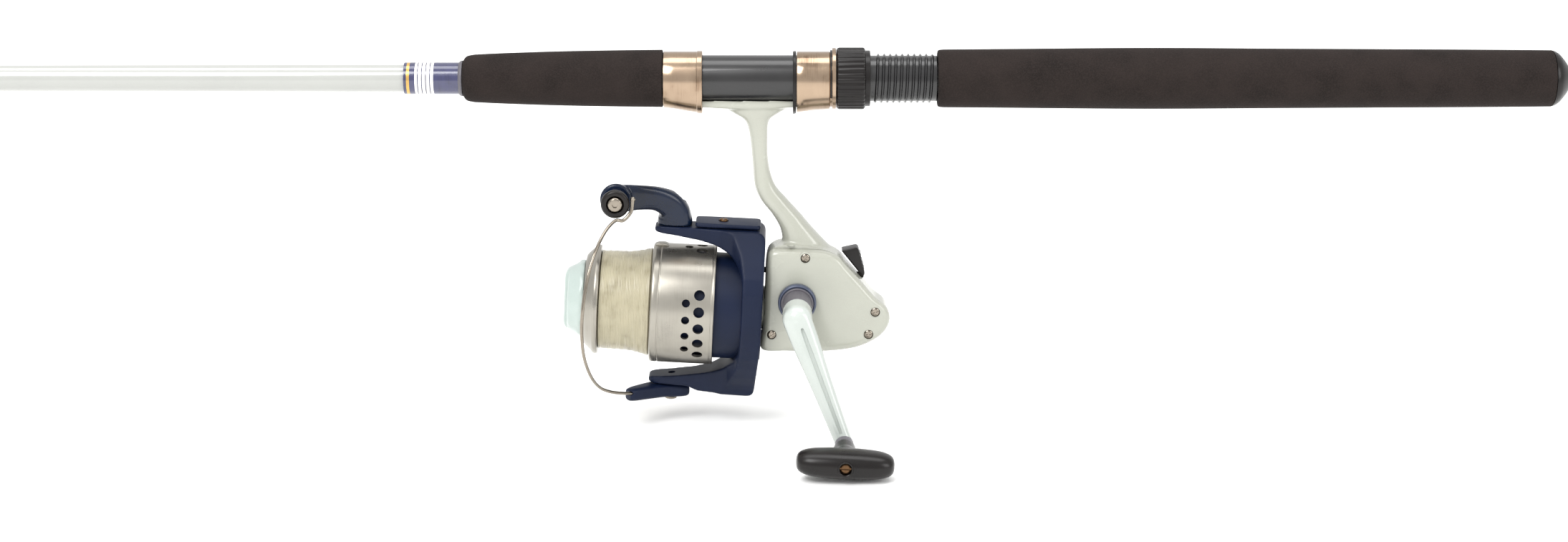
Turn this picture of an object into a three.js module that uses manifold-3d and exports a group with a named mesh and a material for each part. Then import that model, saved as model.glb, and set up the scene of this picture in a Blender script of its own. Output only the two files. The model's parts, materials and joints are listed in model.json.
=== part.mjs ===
// A two-piece spinning rod with a fixed-spool reel clamped in its seat.
// Millimetres. The rod lies along X with its butt at X = 0 and its tip towards -X.
// The reel hangs towards -Z and its crank handle is on the -Y side.
import * as THREE from "three";
import { mergeVertices } from "three/addons/utils/BufferGeometryUtils.js";
import Module from "manifold-3d";

const wasm = await Module();
wasm.setup();

// ---------------------------------------------------------------- driving dimensions
const GAP = 0.3; // between pieces that touch or seat on each other
const RUN = 0.06; // radial clearance of a running or sliding fit

const ROD = {
  length: 2134, // butt to tip-top
  joint: 1020, // where the tip section's mouth starts
  overlap: 70, // length of the ferrule
  wall: 1.1, // of the blank
  buttRadius: 8.35, // blank at the butt
  midRadius: 6.35, // blank at the ferrule's mouth
  maleEnd: 6.1, // blank at the end of the butt section
  ferruleWall: 1.0,
  tipRadius: 1.15, // blank under the tip-top
};
const GRIP = {
  capLength: 8.5,
  capRadius: 14.45,
  rearEnd: 325.4, // front end of the rear grip
  rearRadius: 14.6, // at the butt cap
  swell: 15.75, // widest place of the rear grip
  swellAt: 218,
  frontRadius: 15, // rear grip at the reel seat
  foreStart: 467.1,
  foreEnd: 570.2,
  foreRear: 14.8,
  foreFront: 12.2,
};
const SEAT = {
  start: 325.7,
  radius: 12,
  threadEnd: 360,
  threadDrop: 0.15, // thread's root below the barrel's face
  threadRise: 0.75, // and its crest above it
  pitch: 3.1,
  nutStart: 360.2,
  nutEnd: 377.5,
  nutWall: 4, // from the barrel's face to the nut's outside
  nutCollar: 2.6, // length of the thin collar behind the knurled part
  nutTurns: 7,
  hoodStart: 377.8,
  hoodEnd: 398,
  hoodWall: 1.9, // from the barrel's face to a hood's outside
  hoodLift: 3.9, // how far a hood's mouth bulges over the foot
  linerEnd: 400,
  frontHoodStart: 446.7,
};
const FOOT = {
  length: 70,
  centre: 423.4,
  halfWidth: 7.4,
  tipThickness: 1.3,
  thickness: 3.6,
};

const REEL = {
  x: -462.1, // the bail pivots' axis
  z: -120.3, // spool axis at the bail pivots' axis
  tilt: 3, // degrees that the spool points up towards the rod
};
const SPOOL = {
  lipRadius: 28.7,
  lipFront: -42,
  lipLength: 2.6,
  skirtRadius: 31.4,
  skirtFront: -12,
  skirtEnd: 21,
  wall: 1.5,
  coreRadius: 17,
  lineFront: 25.8, // radius of the wound line behind the lip
  lineRear: 28.6,
  washerPocket: 15,
};
const HOLES = {
  groups: 3,
  step: 16.4, // degrees between holes of a row
  centre: 9.2, // degrees from the group's middle to the handle side
  rows: [
    { count: 5, radius: 2.8, x: 13.2 },
    { count: 4, radius: 2.1, x: 6.4 },
  ],
};
const SHAFT = { radius: 2.5, front: -54, rear: 90 };
const KNOB = { radius: 20.4, frontRadius: 17, front: -58.1, depth: 14.6, barHalf: 4.2 };
const ROTOR = {
  drumRadius: SPOOL.skirtRadius - SPOOL.wall - 2.1,
  drumFront: 0,
  wall: 2.2,
  plateFront: 35,
  rear: 46,
  armReach: 42.8, // outer face of the arms
  coverTop: 45.9,
  coverFront: 9,
  coverRear: 43.4,
  armFront: -12,
  webHalfWidth: 29.6, // of the web that joins the arms behind the drum
};
const BAIL = {
  pivotRadius: 1.9,
  rollerAt: [-32.3, -21.5, 58.3], // middle of the line roller
  rollerHalf: 3.1,
  rollerRadius: 5.2,
  wireRadius: 0.85,
};
const BODY = {
  front: 46.8, // x of the housing's front wall, behind the rotor
  far: 14.5, // y of the outer face away from the handle
  split: -11.5, // y of the joint between housing and side cover
  near: -16.5, // y of the side cover's outer face
  wall: 2.4,
  round: 2.6,
};
const CRANK = {
  at: [64, 8.4], // drive shaft's place, x and z in the reel's frame
  knobAt: [91, -51.4],
  elbow: -52.5, // y of the arm's middle line at the hub
  end: -66.6, // and at the knob
  knobOut: 32, // from the arm's end to the middle of the knob
  shaftEnd: -40,
  shaftRadius: 3.6,
  hubRadius: 7.7,
  bossRadius: 4.9,
  pinRadius: 2.2,
};
const BEARING = { radius: 8, seat: 8.3 };
const GEAR = {
  teeth: 30,
  radius: 13,
  faceWidth: 3.2,
  pinionTeeth: 6,
  pinionRadius: 4.3,
  sleeveRadius: 3.4, // of the pinion's sleeve, which carries the rotor
  oscTeeth: 24,
  oscDrive: 12,
};
const GUIDES = [
  { at: 962, ring: 11, height: 27 },
  { at: 1290, ring: 7, height: 18 },
  { at: 1610, ring: 5, height: 12 },
  { at: 1890, ring: 4, height: 9 },
];
const TIP = { ring: 3.6, drop: 7, tube: 16 };

// ---------------------------------------------------------------- materials
const finish = (color, roughness, metalness = 0) =>
  new THREE.MeshStandardMaterial({ color, roughness, metalness });
const foam = finish(0x2a2522, 0.95);
const blackPlastic = finish(0x1c1a1a, 0.45);
const gloss = finish(0xf0f1ee, 0.15);
const pearl = finish(0xd4d8d2, 0.3);
const navy = finish(0x1f3054, 0.28, 0.4);
const steel = finish(0xb9ab9c, 0.25, 1);
const chrome = finish(0xd6d6d4, 0.12, 1);
const silver = finish(0xc2c3c2, 0.35, 0.9);
const brass = finish(0xb08a4a, 0.35, 0.9);
const slate = finish(0x4a5563, 0.4, 0.3);
const nylon = finish(0xc9c4b0, 0.4);
const ceramic = finish(0x3a3d42, 0.3);

// ---------------------------------------------------------------- solids
// A closed geometry as a manifold-3d solid, facing outwards.
function solid(geometry) {
  const bare = new THREE.BufferGeometry();
  bare.setAttribute("position", geometry.getAttribute("position").clone());
  if (geometry.index) bare.setIndex(geometry.index.clone());
  const merged = mergeVertices(bare, 1e-4);
  const at = merged.attributes.position;
  const index = merged.index.array;
  const point = (n) => new THREE.Vector3().fromBufferAttribute(at, n);
  const faces = [];
  let volume = 0;
  for (let i = 0; i < index.length; i += 3) {
    const [a, b, c] = [index[i], index[i + 1], index[i + 2]];
    if (a === b || b === c || c === a) continue;
    faces.push([a, b, c]);
    volume += point(a).dot(point(b).cross(point(c)));
  }
  const triVerts = new Uint32Array(faces.flatMap(([a, b, c]) => (volume < 0 ? [a, c, b] : [a, b, c])));
  return new wasm.Manifold(new wasm.Mesh({ numProp: 3, vertProperties: at.array, triVerts }));
}

const join = (...solids) => solids.reduce((a, b) => a.add(b));
const cut = (body, ...tools) => tools.reduce((a, b) => a.subtract(b), body);

// A node: a named mesh of one solid, in a group.
function piece(name, material, made, group) {
  const mesh = made.getMesh();
  const geometry = new THREE.BufferGeometry();
  geometry.setAttribute("position", new THREE.BufferAttribute(mesh.vertProperties, 3));
  geometry.setIndex(new THREE.BufferAttribute(mesh.triVerts, 1));
  geometry.computeVertexNormals();
  const node = new THREE.Mesh(geometry, material);
  node.name = name;
  group.add(node);
  return node;
}

// A solid turned about the X axis from points [x, radius]; a bored one closes on itself.
function turned(points, sides = 20, bored = false) {
  const outline = points.map(([x, r]) => new THREE.Vector2(r, x));
  if (bored) outline.push(outline[0].clone());
  else {
    if (outline[0].x > 0) outline.unshift(new THREE.Vector2(0, outline[0].y));
    const last = outline[outline.length - 1];
    if (last.x > 0) outline.push(new THREE.Vector2(0, last.y));
  }
  return solid(new THREE.LatheGeometry(outline, sides).rotateZ(-Math.PI / 2));
}

// A tube along X between x0 and x1.
const tube = (x0, x1, outer, inner, sides = 20) =>
  turned([[x0, outer], [x1, outer], [x1, inner], [x0, inner]], sides, true);

// Radius to the corners of a bore whose flats clear a shaft that turns or slides in it.
const running = (shaft, sides) => (shaft + RUN) / Math.cos(Math.PI / sides);

// A plain rod along X.
const bar = (x0, x1, radius, sides = 12) => turned([[x0, radius], [x1, radius]], sides);

// Turns a solid made along X so that it lies along Y or Z.
const alongY = (made) => made.rotate([0, 0, 90]);
const alongZ = (made) => made.rotate([0, -90, 0]);

const box = (x0, x1, y0, y1, z0, z1) =>
  solid(
    new THREE.BoxGeometry(x1 - x0, y1 - y0, z1 - z0).translate((x0 + x1) / 2, (y0 + y1) / 2, (z0 + z1) / 2),
  );

// A closed skin over rings of points, each ring with the same number of points.
function loft(rings) {
  const count = rings[0].length;
  const at = rings.flat().flatMap((p) => [p.x, p.y, p.z]);
  const index = [];
  for (let r = 0; r + 1 < rings.length; r++)
    for (let n = 0; n < count; n++) {
      const [a, b] = [r * count + n, r * count + ((n + 1) % count)];
      index.push(a, b, b + count, a, b + count, a + count);
    }
  for (const [r, turn] of [[0, 1], [rings.length - 1, -1]]) {
    const middle = rings[r].reduce((s, p) => s.add(p), new THREE.Vector3()).divideScalar(count);
    at.push(middle.x, middle.y, middle.z);
    for (let n = 0; n < count; n++) {
      const side = [r * count + n, r * count + ((n + 1) % count)];
      if (turn > 0) side.reverse();
      index.push(at.length / 3 - 1, ...side);
    }
  }
  const geometry = new THREE.BufferGeometry();
  geometry.setAttribute("position", new THREE.Float32BufferAttribute(at, 3));
  geometry.setIndex(index);
  return solid(geometry);
}

// A ring of points: an oval with half sizes a and b on the directions u and v.
function oval(centre, u, v, a, b, count = 16, power = 1) {
  return Array.from({ length: count }, (_, n) => {
    const t = (2 * Math.PI * n) / count;
    const squash = (w) => Math.sign(w) * Math.abs(w) ** power;
    return centre
      .clone()
      .addScaledVector(u, a * squash(Math.cos(t)))
      .addScaledVector(v, b * squash(Math.sin(t)));
  });
}

const vec = (x, y, z) => new THREE.Vector3(x, y, z);
const X = vec(1, 0, 0);
const Y = vec(0, 1, 0);
const Z = vec(0, 0, 1);

// A bar of round section between two points.
function strut(from, to, radius, sides = 5) {
  const along = to.clone().sub(from).normalize();
  const side = (Math.abs(along.z) < 0.9 ? Z : X).clone().cross(along).normalize();
  const up = along.clone().cross(side);
  return loft([oval(from, side, up, radius, radius, sides), oval(to, side, up, radius, radius, sides)]);
}

// An outline in X and Z pushed along Y, with rounded edges when round is over 0.
function slab(points, y0, y1, round = 0) {
  const shape = new THREE.Shape(points.map(([x, z]) => new THREE.Vector2(x, z)));
  const geometry = new THREE.ExtrudeGeometry(shape, {
    depth: y1 - y0 - 2 * round,
    bevelEnabled: round > 0,
    bevelThickness: round,
    bevelSize: round,
    bevelOffset: -round,
    bevelSegments: 1,
  });
  return solid(geometry.rotateX(Math.PI / 2).translate(0, y1 - round, 0));
}

// A round wire along a curve.
function wire(curve, radius, steps, sides = 6) {
  const section = new THREE.Shape(
    oval(vec(0, 0, 0), X, Y, radius, radius, sides).map((p) => new THREE.Vector2(p.x, p.y)),
  );
  return solid(new THREE.ExtrudeGeometry(section, { steps, extrudePath: curve }));
}

// A toothed wheel along X: teeth of the given depth outside a rim.
function toothed(x0, x1, radius, depth, teeth) {
  const outline = [];
  for (let n = 0; n < teeth; n++)
    for (const [share, r] of [[0, radius - depth], [0.3, radius], [0.7, radius]]) {
      const t = (2 * Math.PI * (n + share)) / teeth;
      outline.push([r * Math.cos(t), r * Math.sin(t)]);
    }
  return slab(outline, 0, x1 - x0).rotate([0, 0, -90]).translate([x0, 0, 0]);
}

// ---------------------------------------------------------------- groups
const root = new THREE.Group();
const reel = new THREE.Group();
reel.position.set(REEL.x, 0, REEL.z);
reel.rotation.y = THREE.MathUtils.degToRad(REEL.tilt);
reel.updateMatrixWorld(true);
root.add(reel);

// Moves a solid made in the rod's frame into the reel's.
const intoReel = (made) => made.translate([-REEL.x, 0, -REEL.z]).rotate([0, -REEL.tilt, 0]);

// ---------------------------------------------------------------- rod
// Outer radius of the blank at a distance from the butt.
function blankRadius(at) {
  const tipStart = ROD.joint + ROD.overlap;
  const tipRoot = ROD.midRadius + 0.5;
  if (at <= ROD.joint)
    return ROD.buttRadius + ((ROD.midRadius - ROD.buttRadius) * at) / ROD.joint;
  if (at <= tipStart) return ROD.midRadius + ROD.ferruleWall + RUN;
  return tipRoot + ((ROD.tipRadius - tipRoot) * (at - tipStart)) / (ROD.length - tipStart);
}

function makeRod() {
  const bore = (at) => blankRadius(at) + GAP;
  piece(
    "butt_cap",
    blackPlastic,
    turned([
      [0, 5],
      [-0.5, 7.2],
      [-2.2, 9.6],
      [-4.8, 12.7],
      [-6.8, 14],
      [-GRIP.capLength + GAP, GRIP.capRadius],
    ]),
    root,
  );
  const { rearEnd, swellAt } = GRIP;
  piece(
    "rear_grip",
    foam,
    turned(
      [
        [-GRIP.capLength, GRIP.rearRadius],
        [-70, 15],
        [-144, 15.35],
        [-swellAt, GRIP.swell],
        [-290, 15.2],
        [-rearEnd + 2, GRIP.frontRadius],
        [-rearEnd + 0.5, GRIP.frontRadius - 0.6],
        [-rearEnd, GRIP.frontRadius - 2],
        [-rearEnd, bore(rearEnd)],
        [-GRIP.capLength, bore(0)],
      ],
      24,
      true,
    ),
    root,
  );
  const { foreStart, foreEnd } = GRIP;
  piece(
    "fore_grip",
    foam,
    turned(
      [
        [-foreStart, GRIP.foreRear],
        [-520, 14],
        [-foreEnd + 3.3, GRIP.foreFront],
        [-foreEnd + 1, GRIP.foreFront - 1],
        [-foreEnd, GRIP.foreFront - 3.2],
        [-foreEnd, bore(foreStart)],
        [-foreStart, bore(foreStart)],
      ],
      24,
      true,
    ),
    root,
  );

  // Butt section: a tapered tube whose last stretch is the ferrule's male part.
  const maleEnd = ROD.joint + ROD.overlap - 3;
  piece(
    "butt_blank",
    gloss,
    turned(
      [
        [-GRIP.capLength - 0.4, ROD.buttRadius],
        [-ROD.joint, ROD.midRadius],
        [-maleEnd, ROD.maleEnd],
        [-maleEnd, ROD.maleEnd - ROD.wall],
        [-ROD.joint, ROD.midRadius - ROD.wall],
        [-GRIP.capLength - 0.4, ROD.buttRadius - ROD.wall],
      ],
      16,
      true,
    ),
    root,
  );
  // Tip section: its mouth slides over the male part, so both have one taper.
  const depth = ROD.joint + ROD.overlap;
  const femaleEnd = ROD.midRadius + ((ROD.maleEnd - ROD.midRadius) * ROD.overlap) / (maleEnd - ROD.joint);
  piece(
    "tip_blank",
    gloss,
    turned(
      [
        [-ROD.joint - GAP, ROD.midRadius + ROD.ferruleWall + RUN],
        [-depth + 8, ROD.midRadius + ROD.ferruleWall],
        [-depth, blankRadius(depth + 1)],
        [-ROD.length + 4, ROD.tipRadius],
        [-ROD.length + 4, 0],
        [-depth - 500, 0],
        [-depth - 30, femaleEnd - 0.6],
        [-depth, femaleEnd + RUN],
        [-ROD.joint - GAP, ROD.midRadius + RUN],
      ],
      16,
      true,
    ),
    root,
  );
}

// Section of the reel's foot at x, from the rod's axis down: thickest at its middle.
function footRing(x, half, thickness) {
  const low = -SEAT.radius - GAP - thickness;
  const points = [
    [-half, 0],
    [half, 0],
    [half, low + 0.66 * thickness],
    [0.62 * half, low + 0.1 * thickness],
    [0, low],
    [-0.62 * half, low + 0.1 * thickness],
    [-half, low + 0.66 * thickness],
  ];
  return points.map(([y, z]) => vec(x, y, z));
}

// The reel seat: a barrel with a thread, a fixed hood, and a hood driven by the lock nut.
function makeSeat() {
  const { start, radius, threadEnd, threadDrop, threadRise, pitch } = SEAT;
  const threadRoot = radius - threadDrop;
  const threadCrest = radius + threadRise;
  const outline = [[-start, threadRoot]];
  for (let at = start + pitch / 2; at < threadEnd - pitch / 2; at += pitch)
    outline.push([-at, threadCrest], [-at - pitch / 2, threadRoot]);
  const boreAt = blankRadius(start) + GAP;
  const barrelEnd = -GRIP.foreStart + GAP;
  outline.push([-threadEnd, radius], [barrelEnd, radius], [barrelEnd, boreAt], [-start, boreAt]);
  piece("reel_seat", blackPlastic, turned(outline, 18, true), root);

  const nutBore = threadCrest + GAP;
  const { nutStart, nutEnd, nutWall, nutCollar } = SEAT;
  const nutRadius = radius + nutWall;
  piece(
    "lock_nut",
    blackPlastic,
    turned(
      [
        [-nutStart, 14.45],
        [-nutStart - nutCollar, 14.45],
        [-nutStart - nutCollar, nutRadius - 0.7],
        [-nutStart - nutCollar - 0.7, nutRadius],
        [-nutEnd + 0.6, nutRadius],
        [-nutEnd, nutRadius - 0.6],
        [-nutEnd, nutBore],
        [-nutStart, nutBore],
      ],
      24,
      true,
    ),
    root,
  );

  // Section of a hood: a circle that bulges downwards over the foot.
  const hoodRing = (x, r, lift, count = 24) =>
    Array.from({ length: count }, (_, n) => {
      const t = (2 * Math.PI * n) / count;
      const down = Math.max(0, -Math.sin(t)) ** 1.2;
      return vec(x, (r + 0.35 * lift * down) * Math.cos(t), r * Math.sin(t) - lift * down);
    });
  // The pocket under the barrel that takes one end of the foot, deepest at the mouth.
  const pocket = (mouth, end) =>
    loft([
      footRing(mouth + Math.sign(mouth - end), FOOT.halfWidth + GAP, FOOT.thickness + GAP),
      footRing(end, FOOT.halfWidth * 0.86 + GAP, FOOT.tipThickness + GAP),
    ]);
  const { hoodStart, hoodEnd, hoodWall, hoodLift, linerEnd, frontHoodStart } = SEAT;
  const hoodRadius = radius + hoodWall;
  const sliding = loft([
    hoodRing(-hoodStart, nutRadius - 0.25, 0.2),
    hoodRing(-hoodStart - 2, nutRadius - 0.25, 0.2),
    hoodRing(-hoodStart - 2.01, nutRadius - 1.2, 0.3),
    hoodRing(-hoodStart - 3.1, nutRadius - 1.2, 0.3),
    hoodRing(-hoodStart - 3.11, hoodRadius, 2.1),
    hoodRing(-hoodStart - 12, hoodRadius, 2.7),
    hoodRing(-hoodEnd, hoodRadius, hoodLift),
  ]);
  const barrel = bar(-GRIP.foreStart, -start, radius + GAP, 24);
  const footRear = -(FOOT.centre - FOOT.length / 2) + GAP;
  const footFront = -(FOOT.centre + FOOT.length / 2) - GAP;
  const nutSpace = bar(-hoodStart - 3, -hoodStart + 1, nutBore, 24);
  piece("sliding_hood", steel, cut(sliding, barrel, nutSpace, pocket(-hoodEnd, footRear)), root);

  const linerRing = loft([
    hoodRing(-hoodEnd - GAP, hoodRadius + 0.25, hoodLift + 0.2),
    hoodRing(-linerEnd, hoodRadius + 0.25, hoodLift + 0.6),
  ]);
  piece("hood_liner", blackPlastic, cut(linerRing, barrel, pocket(-linerEnd, footRear)), root);

  const fixed = loft([
    hoodRing(-frontHoodStart, hoodRadius + 0.3, hoodLift + 0.2),
    hoodRing(-frontHoodStart - 2.9, hoodRadius + 0.3, hoodLift),
    hoodRing(-frontHoodStart - 2.91, hoodRadius, hoodLift - 0.1),
    hoodRing(-GRIP.foreStart + GAP, hoodRadius, 1.2),
  ]);
  piece("front_hood", steel, cut(fixed, barrel, pocket(-frontHoodStart, footFront)), root);
}

// A guide: a ring held off the blank by two front legs and a rear leg, with feet.
function makeGuide(name, { at, ring, height }) {
  const r = blankRadius(at);
  const centre = vec(-at, 0, -r - height);
  const frameRadius = ring + 1.9;
  const sides = ring > 8 ? 16 : 12;
  const band = (inner, outer, half) => tube(-half, half, outer, inner, sides).translate(centre.toArray());
  const spread = height * 0.55;
  const under = (x) => vec(-at + x, 0, -blankRadius(at - x) - GAP - 0.75);
  const front = under(-spread - 4);
  const back = under(spread + 4);
  const legs = [-1, 1].map((side) => {
    const hold = centre.clone().add(vec(0, side * (frameRadius + 0.2) * 0.94, (frameRadius + 0.2) * 0.34));
    return strut(front, hold, 0.75);
  });
  const rear = strut(back, centre.clone().add(vec(0, 0, frameRadius + 0.2)), 0.8);
  const feet = [
    strut(front.clone().add(vec(0.8, 0, 0)), front.clone().add(vec(-9, 0, 0.1)), 0.72),
    strut(back.clone().add(vec(-0.8, 0, 0)), back.clone().add(vec(9, 0, -0.1)), 0.72),
  ];
  piece(name + "_frame", steel, join(band(ring + 1, frameRadius, 0.8), ...legs, rear, ...feet), root);
  const insert = turned([[-1.1, ring + 0.6], [-0.5, ring], [0.5, ring], [1.1, ring + 0.6]], sides, true);
  piece(name + "_ring", ceramic, insert.translate(centre.toArray()), root);
}

function makeTipTop() {
  const { ring, drop, tube: sleeve } = TIP;
  const end = -ROD.length + 4;
  const centre = vec(-ROD.length + 1.2, 0, -drop);
  const bore = blankRadius(ROD.length - 4 - sleeve) + GAP;
  const barrel = cut(bar(end - 2, end + sleeve, bore + 0.6), bar(end - GAP, end + sleeve + 1, bore));
  const hoop = tube(-0.8, 0.8, ring + 1.7, ring + 0.9, 16);
  const legs = [-1, 1].map((side) => {
    const hold = centre.clone().add(vec(0, side * (ring + 1.5), 0.5));
    return strut(vec(end + sleeve * 0.6, side * 0.6, -bore - 0.4), hold, 0.55);
  });
  const neck = strut(vec(end - 1, 0, -bore), centre.clone().add(vec(0, 0, ring + 1.7)), 0.8);
  piece("tip_top_frame", steel, join(barrel, hoop.translate(centre.toArray()), ...legs, neck), root);
  const insert = turned([[-1, ring + 0.6], [1, ring + 0.6], [0.5, ring], [-0.5, ring]], 16, true);
  piece("tip_top_ring", ceramic, insert.translate(centre.toArray()), root);
}

// ---------------------------------------------------------------- reel body
// The foot: a saddle under the barrel, thin at its ends.
function footSolid() {
  const { length, centre, halfWidth, tipThickness, thickness } = FOOT;
  const rings = [-1, -0.97, -0.8, -0.45, -0.2, 0.2, 0.45, 0.8, 0.97, 1].map((share) => {
    const slim = Math.abs(share) ** 1.5;
    const half = halfWidth * (1 - 0.14 * slim) * (Math.abs(share) === 1 ? 0.8 : 1);
    return footRing(-centre - (share * length) / 2, half, thickness + (tipThickness - thickness) * slim);
  });
  return cut(loft(rings), bar(-GRIP.foreStart, -SEAT.start, SEAT.radius + GAP, 24));
}

// The stem: sections down its height, each from front x to rear x, with a half width.
function stemSolid() {
  const sections = [
    [-14.5, -436, -402, 6.2],
    [-18.2, -430.5, -407.5, 5.8],
    [-22, -424.5, -412.4, 5.4],
    [-30, -422.4, -413, 5.2],
    [-44, -421, -412.6, 5.4],
    [-56, -420, -409.4, 6],
    [-64, -416.8, -403, 7],
    [-72, -410.5, -395.9, 8],
    [-80, -406.4, -389.2, 9],
    [-88, -405.8, -381.8, 10],
    [-95, -409, -374.8, 11],
    [-103, -412, -368, 11],
  ];
  return loft(
    sections.map(([z, front, rear, half]) =>
      oval(vec((front + rear) / 2, 0, z), X, Y, (rear - front) / 2, half, 20, 0.8),
    ),
  );
}

// Outline of the housing in the reel's frame, from the front wall's top, clockwise.
const housingOutline = [
  [BODY.front, 29],
  [49, 34.5],
  [56, 37.5],
  [66, 37.2],
  [76, 36],
  [84, 33],
  [90, 27],
  [97, 19.8],
  [104.5, 11.8],
  [110, 7.6],
  [112.8, 2.8],
  [112.4, -3],
  [108, -9.2],
  [98.6, -14.8],
  [88, -17.6],
  [74, -19.2],
  [60, -19.6],
  [BODY.front, -19.2],
];
// The outline moved inwards by a distance, each point towards the middle.
function inset(points, by) {
  const middle = [78, 3];
  return points.map(([x, z]) => {
    const [dx, dz] = [x - middle[0], z - middle[1]];
    const far = Math.hypot(dx, dz);
    return [x - (dx / far) * by, z - (dz / far) * by];
  });
}

// Cover screws: x and z in the reel's frame.
const screwsAt = [
  [67, 32],
  [51.6, -10.2],
  [105, 4.8],
  [102.2, -7.4],
];
const screwPost = 3.4;

// The anti-reverse rod runs along the top of the housing, from the lever to the pawl.
const LEVER = { axisZ: 20.5, rodRadius: 1.6, halfWidth: 4.5 };
const RATCHET = { front: 40.6, thickness: 1.8, radius: 9.2, teeth: 12 };

function makeBody() {
  const { front, far, split, near, wall, round } = BODY;
  const [cx, cz] = CRANK.at;
  const along = (x, z, made) => alongY(made).translate([x, 0, z]);
  const atScrews = (make) => screwsAt.map(([x, z]) => along(x, z, make()));
  const layers = (stations) =>
    loft(stations.map(([y, by]) => inset(housingOutline, by).map(([x, z]) => vec(x, y, z))));
  const shell = layers([
    [split, 0.6],
    [split + 0.6, 0],
    [3, 0],
    [8.4, 1.4],
    [12, 4],
    [far, 8.6],
  ]);
  const cavity = layers([
    [split - 1, wall + 1.2],
    [4, wall + 1.2],
    [9, 5.4],
    [far - wall, 9],
  ]);
  const posts = atScrews(() => bar(split, far - 1, screwPost, 8)).map((post) => post.intersect(shell));
  const boss = along(cx, cz, bar(far - 6, far + 2.2, 9.4, 20));
  const nose = join(bar(front - 3.2, front + 1, 11.4, 20), bar(front, front + 3.9, 10.8, 20));
  const outside = join(shell, intoReel(join(footSolid(), stemSolid())));
  const body = cut(
    join(cut(outside, cavity), ...posts, boss, nose),
    bar(front - 8, front + 9, 4.9, 20),
    bar(front + GAP, front + 8, BEARING.seat, 20),
    along(cx, cz, bar(far - 14, far + 4, CRANK.shaftRadius + 0.5, 16)),
    along(cx, cz, bar(far - 7, far - 1.9, BEARING.seat, 20)),
    bar(front - 6, 104, LEVER.rodRadius + 0.2, 12).translate([0, 0, LEVER.axisZ]),
    ...atScrews(() => bar(split - 1, split + 9, 1.4, 6)),
  );
  piece("reel_body", pearl, body, reel);

  const coverSkin = slab(housingOutline, near, split - GAP, round).intersect(
    box(front - 5, 120, near - 1, split, -40, 35.6),
  );
  const coverHollow = slab(inset(housingOutline, wall + 1.2), near + wall, split);
  const cover = cut(
    join(
      cut(coverSkin, coverHollow),
      ...atScrews(() => bar(near + 0.5, split - GAP, 4, 8)).map((pad) => pad.intersect(coverSkin)),
      along(cx, cz, bar(near + 0.5, split - GAP, 10.2, 20)),
    ),
    along(cx, cz, bar(split - 4.6, split + 1, BEARING.seat, 20)),
    along(cx, cz, bar(near - 1, split, CRANK.shaftRadius + 0.5, 16)),
    ...atScrews(() => bar(near - 1, near + 2.2, 3.05, 12)),
    ...atScrews(() => bar(near - 1, split + 1, 1.4, 6)),
  );
  piece("side_cover", pearl, cover, reel);
  screwsAt.forEach(([x, z], n) => {
    const head = turned([[-1.9, 1.7], [-1.2, 2.6], [0, 2.6]], 12);
    const screw = cut(join(head, bar(-0.5, 9, 1, 6)), box(-3, -1.1, -1.9, 1.9, -0.4, 0.4));
    piece(`cover_screw_${n + 1}`, chrome, alongY(screw).translate([x, near + 2, z]), reel);
  });
  const collar = tube(near - 5.2, near - GAP, 10, CRANK.shaftRadius + 0.5, 24);
  piece("handle_collar", slate, along(cx, cz, collar), reel);
  const bearing = () => tube(-2, 2, BEARING.radius, running(CRANK.shaftRadius, 16), 16);
  piece("drive_bearing_near", steel, along(cx, cz, bearing()).translate([0, split - 2.3, 0]), reel);
  piece("drive_bearing_far", steel, along(cx, cz, bearing()).translate([0, far - 4.4, 0]), reel);
  const sleeveBore = running(GEAR.sleeveRadius, 16);
  piece("pinion_bearing", steel, tube(front + 0.5, front + 3.5, BEARING.radius, sleeveBore, 16), reel);
}

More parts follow.
